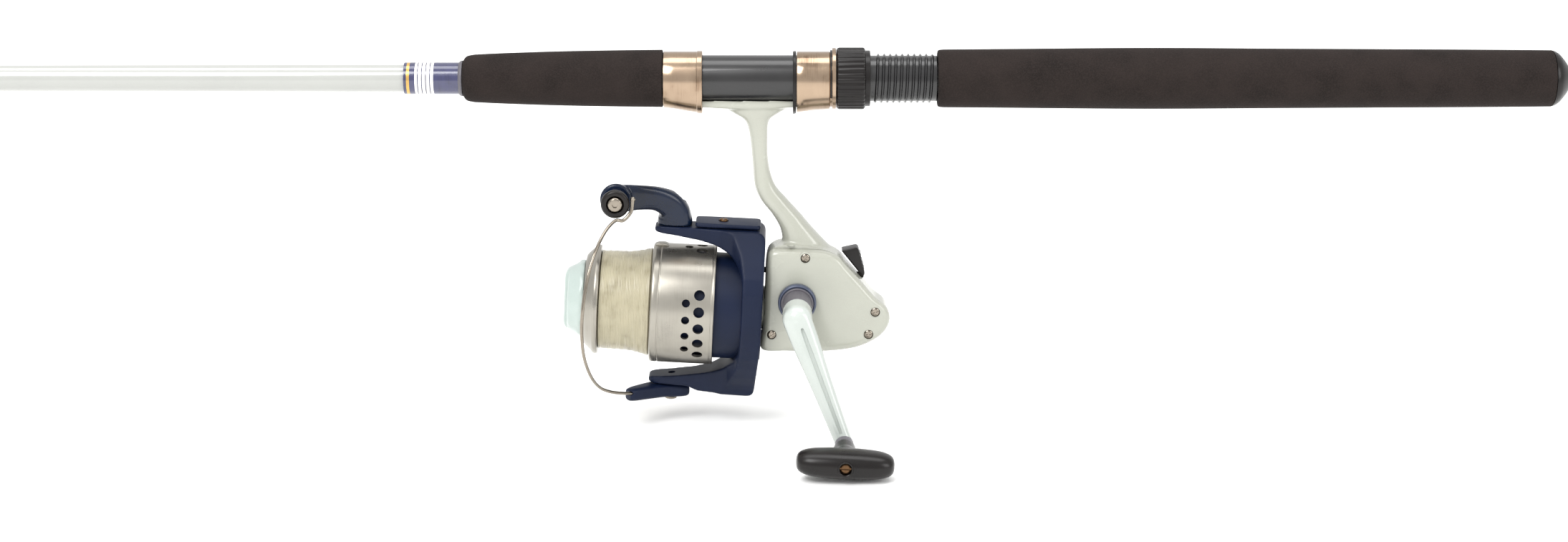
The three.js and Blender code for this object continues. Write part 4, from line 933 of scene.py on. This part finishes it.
# ------------------------------------------------------------------ rotor and bail
def make_rotor():
    drum = [
        (0, 25.6), (0, 27.8), (46, 27.8), (46, 24.6), (38, 24.6), (38, 3.72), (35, 3.72), (35, 25.6),
        (0, 25.6)
    ]
    drum = lathe(rounded(drum, 0.6), 128, True)
    put(drum, "rotor_drum", NAVY, "rotor", "rotor")

    inner = [(35, 13), (34.6, 20), (32.2, 26.2), (27, 31.4), (20, 34.6), (12, 36.4), (0, 38.2), (-12, 39.4)]
    upper = inner + [(-12, 42.2), (-10.5, 42.8), (43.5, 43.2), (46, 40.4), (46, 14)]
    lower = inner + [
        (-12, 42.2), (-10.5, 42.8), (9, 43.2), (13, 45.3), (41.6, 45.9), (43.8, 44.1), (46, 14)
    ]
    side = rounded_loop(upper + mirrored(lower, 1, -1), 2.2)
    half = [
        (-12, 5.2), (-9.6, 7), (-4, 7.9), (12, 8.5), (22, 10.4), (29, 14), (33, 20), (35, 26), (35.6, 31.6),
        (46, 31.6)
    ]
    plan = half + mirrored(half, 1, -1)
    end = [
        (12.4, -48), (13, -42.8), (15.2, -39), (19, -34), (23, -28), (26.6, -21.6), (29, -14), (29.6, -7),
        (29.6, 0)
    ]
    end = end + mirrored(end[:-1], 1, -1)
    end = end + mirrored(end, -1, 1)
    yoke = slab(side, -31, 31, 0.01, 1)
    plan_solid = swapped(slab(plan, -60, 60, 0.01, 1))
    end_solid = slab(end, -13, 47, 0.01, 1)
    end_solid.data.transform(Matrix.Rotation(-math.pi / 2, 4, "Z"))
    yoke = boolean(boolean(yoke, [plan_solid], "INTERSECT"), [end_solid], "INTERSECT")
    yoke = fused([yoke], 0.62, smooth=9)
    tools = [bar(-20, 50, 27.65, 128), box(13, 39.4, -3.6, 3.6, 39.4, 50)]
    for z in (46, -48):
        pin = turned_to(bar(-12, 12, 1.98, 24), "Z")
        tools.append(moved(pin, 0, 0, z))
    put(boolean(yoke, tools), "rotor_arms", NAVY, "rotor", (), REEL, 40)

    lid_half = [(9.1, 7.2), (10.2, 8.2), (14, 8.6), (24, 9.0), (41.6, 9.0), (43.2, 7.6)]
    lid = swapped(slab(rounded_loop(lid_half + mirrored(lid_half, 1, -1), 1.2), 43.6, 45.9, 1.0))
    hole = moved(turned_to(bar(-8, 8, 2.7, 32), "Z"), 23.6, 0, 53.0)
    put(boolean(lid, [hole]), "arm_lid", NAVY, "rotor", "arm_cover", REEL, 32)
    head = boolean(
        lathe(rounded([(45.1, 0.4), (45.1, 2.3), (46.6, 2.3), (47.2, 1.5), (47.25, 0.4)], 0.4), 36),
        [box(46.6, 48, -2.5, 2.5, -0.32, 0.32)]
    )
    head.data.transform(Matrix.Rotation(-math.pi / 2, 4, "Y"))
    put(moved(head, 23.6, 0, 0), "arm_lid_screw", BRASS, "rotor", "arm_cover_screw")


def make_bail():
    rx, ry, rz = -32.3, -21.5, 58.3
    stations = [
        (-1.7, 0, 43.2, 9.0, 7.1), (-1.8, 0, 44.6, 9.2, 7.3), (-2.0, -0.2, 46.6, 8.9, 7.2),
        (-2.7, -0.9, 50, 8.2, 6.8),
        (-5.4, -3, 54.2, 7.2, 5.6), (-12, -6.6, 57.5, 6.3, 4.1), (-21, -11, 58.6, 6.6, 2.8),
        (-28.5, -13.9, 58.5, 7.3, 1.8),
        (-31.5, -14.8, 58.4, 7.5, 1.5),
    ]
    sections = curve_through(stations, 6)
    rings = []
    for i, (x, y, z, a, b) in enumerate(sections):
        before, after = sections[max(i - 1, 0)], sections[min(i + 1, len(sections) - 1)]
        along = (Vector(after[:3]) - Vector(before[:3])).normalized()
        if i < 3:
            along = Vector((0, 0, 1))
        side = (Vector((0, 1, 0)) - along * along.y).normalized()
        rings.append(oval((x, y, z), side.cross(along), side, a, b, 64, 0.72))
    sweep = loft(rings)

    def at_roller(obj):
        return moved(turned_to(obj, "Y"), rx, ry, rz)

    flange = at_roller(
        lathe(rounded([(3.4, 0.5), (3.4, 7.6), (4.0, 8.35), (6.3, 8.35), (7.1, 7.6), (7.1, 0.5)], 0.5), 64)
    )
    arm = fused([sweep, flange], 0.42, smooth=7)
    cutter = box(-14, 12, -12, 12, 30, 43.15)
    tools = [cutter, turned_to(bar(40, 70, 2.05, 24), "Z"), turned_to(bar(51.4, 70, 3.7, 32), "Z")]
    tools.append(at_roller(bar(-2, 10, 2.3, 24)))
    put(boolean(arm, tools), "bail_arm_shell", DEEP, "bail", "bail_arm", REEL, 42)

    pin = lathe(rounded(
        [(39.8, 0.4), (39.8, 1.88), (51.8, 1.88), (51.8, 3.3), (53, 3.25), (53.6, 2.4), (53.6, 0.4)], 0.3
    ), 32)
    pin = boolean(pin, [box(52.9, 55, -2.8, 2.8, -0.35, 0.35)])
    put(turned_to(pin, "Z"), "arm_pivot_screw", CHROME, "rotor", "bail_pivot_screw")

    h = 3.1
    groove = [
        (-h, 5.2), (-2.4, 5.2), (-1.6, 4.6), (-0.6, 4.2), (0.6, 4.2), (1.6, 4.6), (2.4, 5.2), (h, 5.2),
        (h, 2.0), (-h, 2.0), (-h, 5.2)
    ]
    put(
        at_roller(lathe(rounded(groove, 0.3), 64, True)), "roller", CHROME, "line_roller",
        "line_roller"
    )
    c = h + 0.3
    cap = [
        (-c, 2.2), (-c, 6.9), (-c - 0.8, 7.4), (-c - 2.4, 7.4), (-c - 3.4, 6.6), (-c - 3.6, 5.9),
        (-c - 3.5, 4.4), (-c - 2, 4.2), (-c - 2, 2.2), (-c, 2.2)
    ]
    put(
        at_roller(lathe(rounded(cap, 0.5), 72, True)), "roller_cap_ring", BLACK, "bail",
        "roller_cap"
    )
    s = -c - 2.3
    screw = [(6.1, 0.4), (6.1, 1.88), (s, 1.88), (s, 3.8), (s - 1.5, 3.8), (s - 2.3, 3.1), (s - 2.4, 0.4)]
    screw = boolean(lathe(rounded(screw, 0.35), 48), [bar(s - 4, s - 1.1, 1.55, 6)])
    put(at_roller(screw), "roller_screw_head", CHROME, "bail", "roller_screw")

    edge = ry - c - 1.6
    route = [
        (rx + 8.8, edge, rz + 2.6), (
            rx + 8.3, edge - 0.8, rz - 3.4
        ), (rx + 4.6, edge - 2.4, rz - 7.8), (-31.5, -30.5, 50.6),
        (-35.8, -37, 47), (-39.4, -45, 40.6), (-42.6, -52, 31), (-44.6, -57, 18), (-45.4, -59, 4),
        (-44.8, -57, -9),
        (-43.2, -51, -20), (-40, -42, -31), (-36, -33, -38.6), (-31, -27, -42.4), (-25, -21.6, -44.6),
        (-18.5, -15.4, -46.3),
    ]
    path = curve_through(route, 8)
    widths = [0.85 + 0.22 * max(0.0, 1 - i / 26) for i in range(len(path))]
    put(tube_along(path, widths, 20), "bail_bow", CHROME, "bail", "bail_wire")
    eye = [Vector(route[0]) + Vector((0.2, d, 0.3)) for d in (-0.9, -0.4, 0.6, 1.4)]
    put(tube_along(eye, [0.8, 1.25, 1.3, 1.2], 20), "bail_bow_end", CHROME, "bail")

    half = 3.85
    z = -43.2 - half
    lever = [
        (8.0, 1.0, 2.6, 2.0), (6.6, 0.8, 5.3, 3.3), (2, 0.4, 7.1, half), (-5, -2, 6.3, half),
        (-14, -9, 4.8, 3.7),
        (-19.5, -13.8, 3.7, 3.5), (-22.0, -16.1, 2.7, 3.0),
    ]
    rings = [
        oval((x, y, z), (0.6, -0.8, 0), (0, 0, 1), a, b, 48, 0.62) for x, y, a, b in curve_through(lever, 6)
    ]
    skin = fused([loft(rings)], 0.4, smooth=5)
    tools = [tube_along(path[-40:], 1.15, 16), turned_to(bar(-70, -30, 2.05, 24), "Z")]
    put(boolean(skin, tools), "bail_lever_shell", NAVY, "bail", "bail_lever", REEL, 42)
    low = z - half - 0.15
    pin = [
        (-39.8, 0.4), (-39.8, 1.88), (low, 1.88), (low, 3.4), (low - 1, 3.3), (low - 1.5, 2.4),
        (low - 1.5, 0.4)
    ]
    put(
        turned_to(lathe(rounded(pin, 0.3), 32), "Z"), "lever_pivot_head", CHROME, "rotor",
        "lever_pivot_screw"
    )


# ------------------------------------------------------------------ spool and drag knob
def make_spool():
    profile = [
        (-47, 15.1), (-47, 23.2), (-45.6, 24.8), (-43.8, 26.4), (-42.6, 27.6), (-42.1, 28.3),
        (-41.4, 28.7), (-39.9, 28.7),
        (-39.4, 28.2), (-39.4, 17), (-12.3, 17), (-12.3, 30.3), (-11.7, 31.2), (-10.8, 31.4),
        (-8.6, 31.4), (-8.4, 31.15),
        (-7.9, 31.15), (-7.7, 31.4), (19.2, 31.4), (19.4, 31.2), (19.8, 31.2), (20, 31.4), (20.7, 31.4),
        (21, 31.1),
        (21, 29.9), (-9, 29.9), (-9, 15.5), (-36.6, 15.5), (-36.6, 6), (-9, 6), (-9, 2.6), (-38.8, 2.6),
        (-38.8, 15.1), (-47, 15.1),
    ]
    spool = lathe(rounded(profile, 0.28, 2), 144, True)
    drills = []
    for group in range(3):
        for count, radius, x in ((5, 2.8, 13.2), (4, 2.1, 6.4)):
            for n in range(count):
                turn = 120 * group + 9.2 + (n - (count - 1) / 2) * 16.4
                drill = moved(turned_to(bar(-35, -26, radius, 28), "Y"), x, 0, 0)
                drill.data.transform(Matrix.Rotation(math.radians(turn), 4, "X"))
                drills.append(drill)
    put(boolean(spool, [merged(drills)]), "spool_shell", SILVER, "spool", "spool", REEL, 30)

    line = [(-39.1, 17.3), (-39.1, 25.2)]
    pitch = 0.19
    for k in range(int(26.2 / pitch)):
        x = -38.95 + pitch * k
        t = (x + 38.9) / 26.1
        r = 25.75 + 0.25 * math.sin(math.pi * t) + 2.75 * max(0.0, (t - 0.52) / 0.48) ** 1.5
        r += 0.05 * math.sin(1.7 * k) + 0.06 * math.sin(0.31 * k + 1) + (0.09 if k % 2 else -0.03)
        line.append((x, min(r, 28.55)))
    line += [(-12.6, 27.9), (-12.6, 17.3)]

    def weave(t, x):
        return 0.0016 * math.sin(9 * t + 1.9 * x) + 0.0012 * math.sin(7 * t - 2.3 * x)

    put(lathe(line, 144, True, weave), "line_turns", LINE, "spool", "line_winding", REEL, 60)

    clip = slab(rounded_loop(
        [(-11.4, 31.0), (-11.4, 31.9), (-9.4, 32.6), (-6.2, 32.6), (-4.4, 31.9), (-4.0, 31.0)], 0.5
    ), -2.4, 2.4, 0.3)
    put(clip, "line_clip", SILVER, "spool")

    def lobes(t, x):
        return 0.012 * math.cos(14 * t) if -50.5 < x < -48.4 else 0.0

    knob = [
        (-55.5, 2.7), (-55.5, 8.4), (-55.7, 13.4), (-55.9, 15.4), (-55.2, 16.6), (-54, 17.4),
        (-52.4, 18.2), (-50.6, 19.4), (-49.6, 20.15),
        (-48.4, 20.3), (-47.6, 20.3), (-47.3, 19.8), (-47.3, 14.5), (-43.5, 14.5), (-43.5, 2.7), (-55.5, 2.7),
    ]
    dial = lathe(rounded(knob, 0.5, 3), 112, True, lobes)
    grip_side = [
        (-52.2, -16.9), (-55.2, -16.6), (-57.2, -15.2), (-58.1, -12.8), (-58.1, 12.8), (-57.2, 15.2),
        (-55.2, 16.6), (-52.2, 16.9)
    ]
    grip = slab(rounded_loop(grip_side, 1.5), -4.3, 4.3, 1.2)
    skin = fused([dial, grip], 0.45, smooth=5)
    put(
        boolean(skin, [bar(-60, -40, 2.7, 24)]), "drag_dial", AQUA, "drag_knob", "drag_knob",
        REEL, 42
    )
    cap = rounded([(-57.9, 0.2), (-57.9, 2.0), (-57.5, 2.45), (-56.4, 2.45), (-56.4, 0.2)], 0.3)
    put(lathe(cap, 32), "drag_dial_plug", GREY, "drag_knob")


# ------------------------------------------------------------------ crank handle
def make_crank():
    cx, cz = CRANK
    kx, kz = 91, -51.4
    elbow, end, mid = -52.5, -66.6, -98.6
    run = Vector((kx - cx, 0, kz - cz))
    length = run.length
    run.normalize()
    across = Vector((-run.z, 0, run.x))

    def on_arm(at, lift=0.0):
        return Vector((cx, elbow + (end - elbow) * at / length + lift, cz)) + run * at

    def at_knob(obj):
        return moved(turned_to(obj, "Y"), kx, 0, kz)

    hub = [
        (elbow - 5.0, 0.4), (elbow - 4.9, 2.6), (elbow - 3.4, 5.6), (elbow - 0.8, 7.4), (elbow + 2, 7.7),
        (-37.4, 7.6), (-37.2, 7.2), (-37.2, 0.4)
    ]
    hub = on_crank_axis(lathe(rounded(hub, 1.2), 64))
    sizes = [
        (-7.2, 2.4, 2), (-5.6, 5.2, 4), (-2, 7, 5), (4, 7.3, 5.1), (14, 6.9, 4.9), (36, 5.6, 4.3),
        (length - 5, 4.6, 3.7), (length + 1, 4.6, 3.6), (length + 3.6, 3.4, 2.8), (length + 4.8, 1.6, 1.4),
    ]
    blade = loft([
        oval(on_arm(at), across, (0, 1, 0), wide, thick, 56, 0.85) for at, wide,
        thick in curve_through(sizes, 5)
    ])
    arm = fused([hub, blade], 0.42, smooth=9)
    flute = []
    for at, wide in curve_through([(3, 0.3), (5.5, 0.95), (20, 1.15), (45, 1.0), (58, 0.85), (60, 0.3)], 6):
        face = 5.1 - 0.024 * at
        flute.append(
            oval(on_arm(at, -face) + across * (1.2 - 0.01 * at), across, (0, 1, 0), wide, 1.25, 20)
        )
    tools = [loft(flute), on_crank_axis(bar(-40.3, 0, 3.95, 40))]
    put(boolean(arm, tools), "crank_arm", ENAMEL, "crank", (), REEL, 40)
    sleeve = rounded([
        (-37.1, 3.95), (-37.1, 7.1), (-36.4, 7.5), (-22.8, 7.7), (-22.1, 7.2), (-22.1, 3.95), (-37.1, 3.95)
    ], 0.4)
    put(on_crank_axis(lathe(sleeve, 64, True)), "crank_sleeve", GREY, "crank")
    boss = rounded([(-75.1, 0.4), (-75.1, 4.4), (-74.4, 4.95), (-71.4, 4.95), (-67, 4.7), (-67, 0.4)], 0.4)
    put(at_knob(lathe(boss, 48)), "crank_boss", GREY, "crank")
    put(at_knob(bar(-102.4, -74, 2.18, 32)), "knob_pin", STEEL, "crank", "handle_arm")

    profile = [
        (-24.7, 1.2, 0.9), (-24.5, 3.3, 2.4), (-23.6, 5.7, 4.1), (-21.4, 7.7, 5.5), (-16.8, 9.3, 6.65),
        (-8, 10.2, 7.3), (0, 10.3, 7.35)
    ]
    profile = profile + [(-x, a, b) for x, a, b in reversed(profile[:-1])]
    bulb = loft(
        [oval((x, mid, 0), (0, 1, 0), (0, 0, 1), a, b, 64, 0.9) for x, a, b in curve_through(profile, 5)]
    )
    neck = [
        (mid + 3, 0.4), (mid + 3, 7), (mid + 9, 6.5), (mid + 13, 5.7), (-76, 5.6), (-75.5, 5.2),
        (-75.5, 0.4)
    ]
    neck = turned_to(lathe(rounded(neck, 1.2), 64), "Y")
    grip = fused([bulb, neck], 0.45, smooth=5)
    tools = [
        turned_to(bar(mid - 20, -70, 2.32, 32), "Y"), turned_to(bar(mid - 20, mid - 7.4, 4.0, 48), "Y")
    ]
    put(
        moved(boolean(grip, tools), kx, 0, kz), "crank_knob", BLACK, "handle_knob",
        "handle_knob", REEL, 42
    )
    ring = rounded([
        (mid - 9.9, 3.05), (mid - 10.25, 3.4), (mid - 10.2, 3.95), (mid - 7.6, 3.95), (mid - 7.6, 3.05),
        (mid - 9.9, 3.05)
    ], 0.15)
    put(at_knob(lathe(ring, 48, True)), "knob_recess_ring", BLACK, "handle_knob")
    top = mid - 7.7
    head = [
        (top - 1.3, 0.4), (top - 1.3, 2.0), (top - 0.7, 2.9), (top + 0.2, 2.95), (top + 0.2, 0.9),
        (mid + 6, 0.85), (mid + 6, 0.4)
    ]
    head = boolean(lathe(rounded(head, 0.3), 48), [box(top - 3, top - 0.6, -3, 3, -0.45, 0.45)])
    put(at_knob(head), "knob_screw_head", BRASS, "crank", "knob_screw")
    at = FAR + 2.5
    button = [
        (at - 14, 0.4), (at - 14, 1.5), (at + 0.05, 1.5), (at + 0.05, 7.9), (at + 0.4, 8.2), (at + 2, 8.2),
        (at + 3.2, 7.0), (at + 3.4, 5.4), (at + 3.1, 3.2), (at + 3.1, 0.4)
    ]
    put(
        on_crank_axis(lathe(rounded(button, 0.5), 64)), "far_button", ENAMEL, "crank",
        "handle_cap"
    )


make_rod()
make_seat()
make_wraps()
make_guides()
make_body()
make_cover()
make_lever()
make_rotor()
make_bail()
make_spool()
make_crank()

# ------------------------------------------------------------------ camera, floor and light
# The colours above are chosen for this view transform.
bpy.context.scene.view_settings.view_transform = "Standard"
camera = bpy.data.objects.new("camera", bpy.data.cameras.new("camera"))
bpy.context.scene.collection.objects.link(camera)
camera.data.lens = 69.93
camera.data.sensor_width = 36
camera.data.clip_start = 0.01
camera.data.clip_end = 200
camera.location = (-0.404595, -1.545481, 0.311069)
tilt = math.radians(15)
camera.rotation_euler = Vector((0, math.cos(tilt), -math.sin(tilt))).to_track_quat("-Z", "Y").to_euler()
bpy.context.scene.camera = camera

floor_height = cad_box[0].z - 0.001
floor = bpy.data.objects.new("floor", bpy.data.meshes.new("floor"))
reach = 60
floor.data.from_pydata(
    [
        (-reach, -reach, floor_height), (reach, -reach, floor_height), (reach, reach, floor_height),
        (-reach, reach, floor_height)
    ],
    [], [(0, 1, 2, 3)],
)
bpy.context.scene.collection.objects.link(floor)
floor.data.materials.append(
    finish("floor_white", "fdfdfc", 0.9, shade=0.01, patch=2, grain=300, relief=0.05, spread=0.03)
)

world = bpy.data.worlds.new("world")
bpy.context.scene.world = world
world.use_nodes = True
world.node_tree.nodes["Background"].inputs["Color"].default_value = (1, 1, 1, 1)
world.node_tree.nodes["Background"].inputs["Strength"].default_value = 1.0


def lamp(name, place, aim, size, power, colour=(1, 1, 1)):
    data = bpy.data.lights.new(name, "AREA")
    data.shape = "RECTANGLE"
    data.size, data.size_y = size
    data.energy = power
    data.color = colour
    obj = bpy.data.objects.new(name, data)
    obj.location = place
    obj.rotation_euler = (Vector(aim) - Vector(place)).to_track_quat("-Z", "Y").to_euler()
    obj.visible_camera = False
    bpy.context.scene.collection.objects.link(obj)


target = (-0.42, 0, -0.08)
lamp("key", (-1.5, -1.6, 2.0), target, (1.4, 1.4), 55)
lamp("top", (-0.4, 0.2, 2.2), target, (2.6, 1.0), 30)
lamp("right", (1.4, -1.2, 0.9), target, (0.8, 1.2), 14)
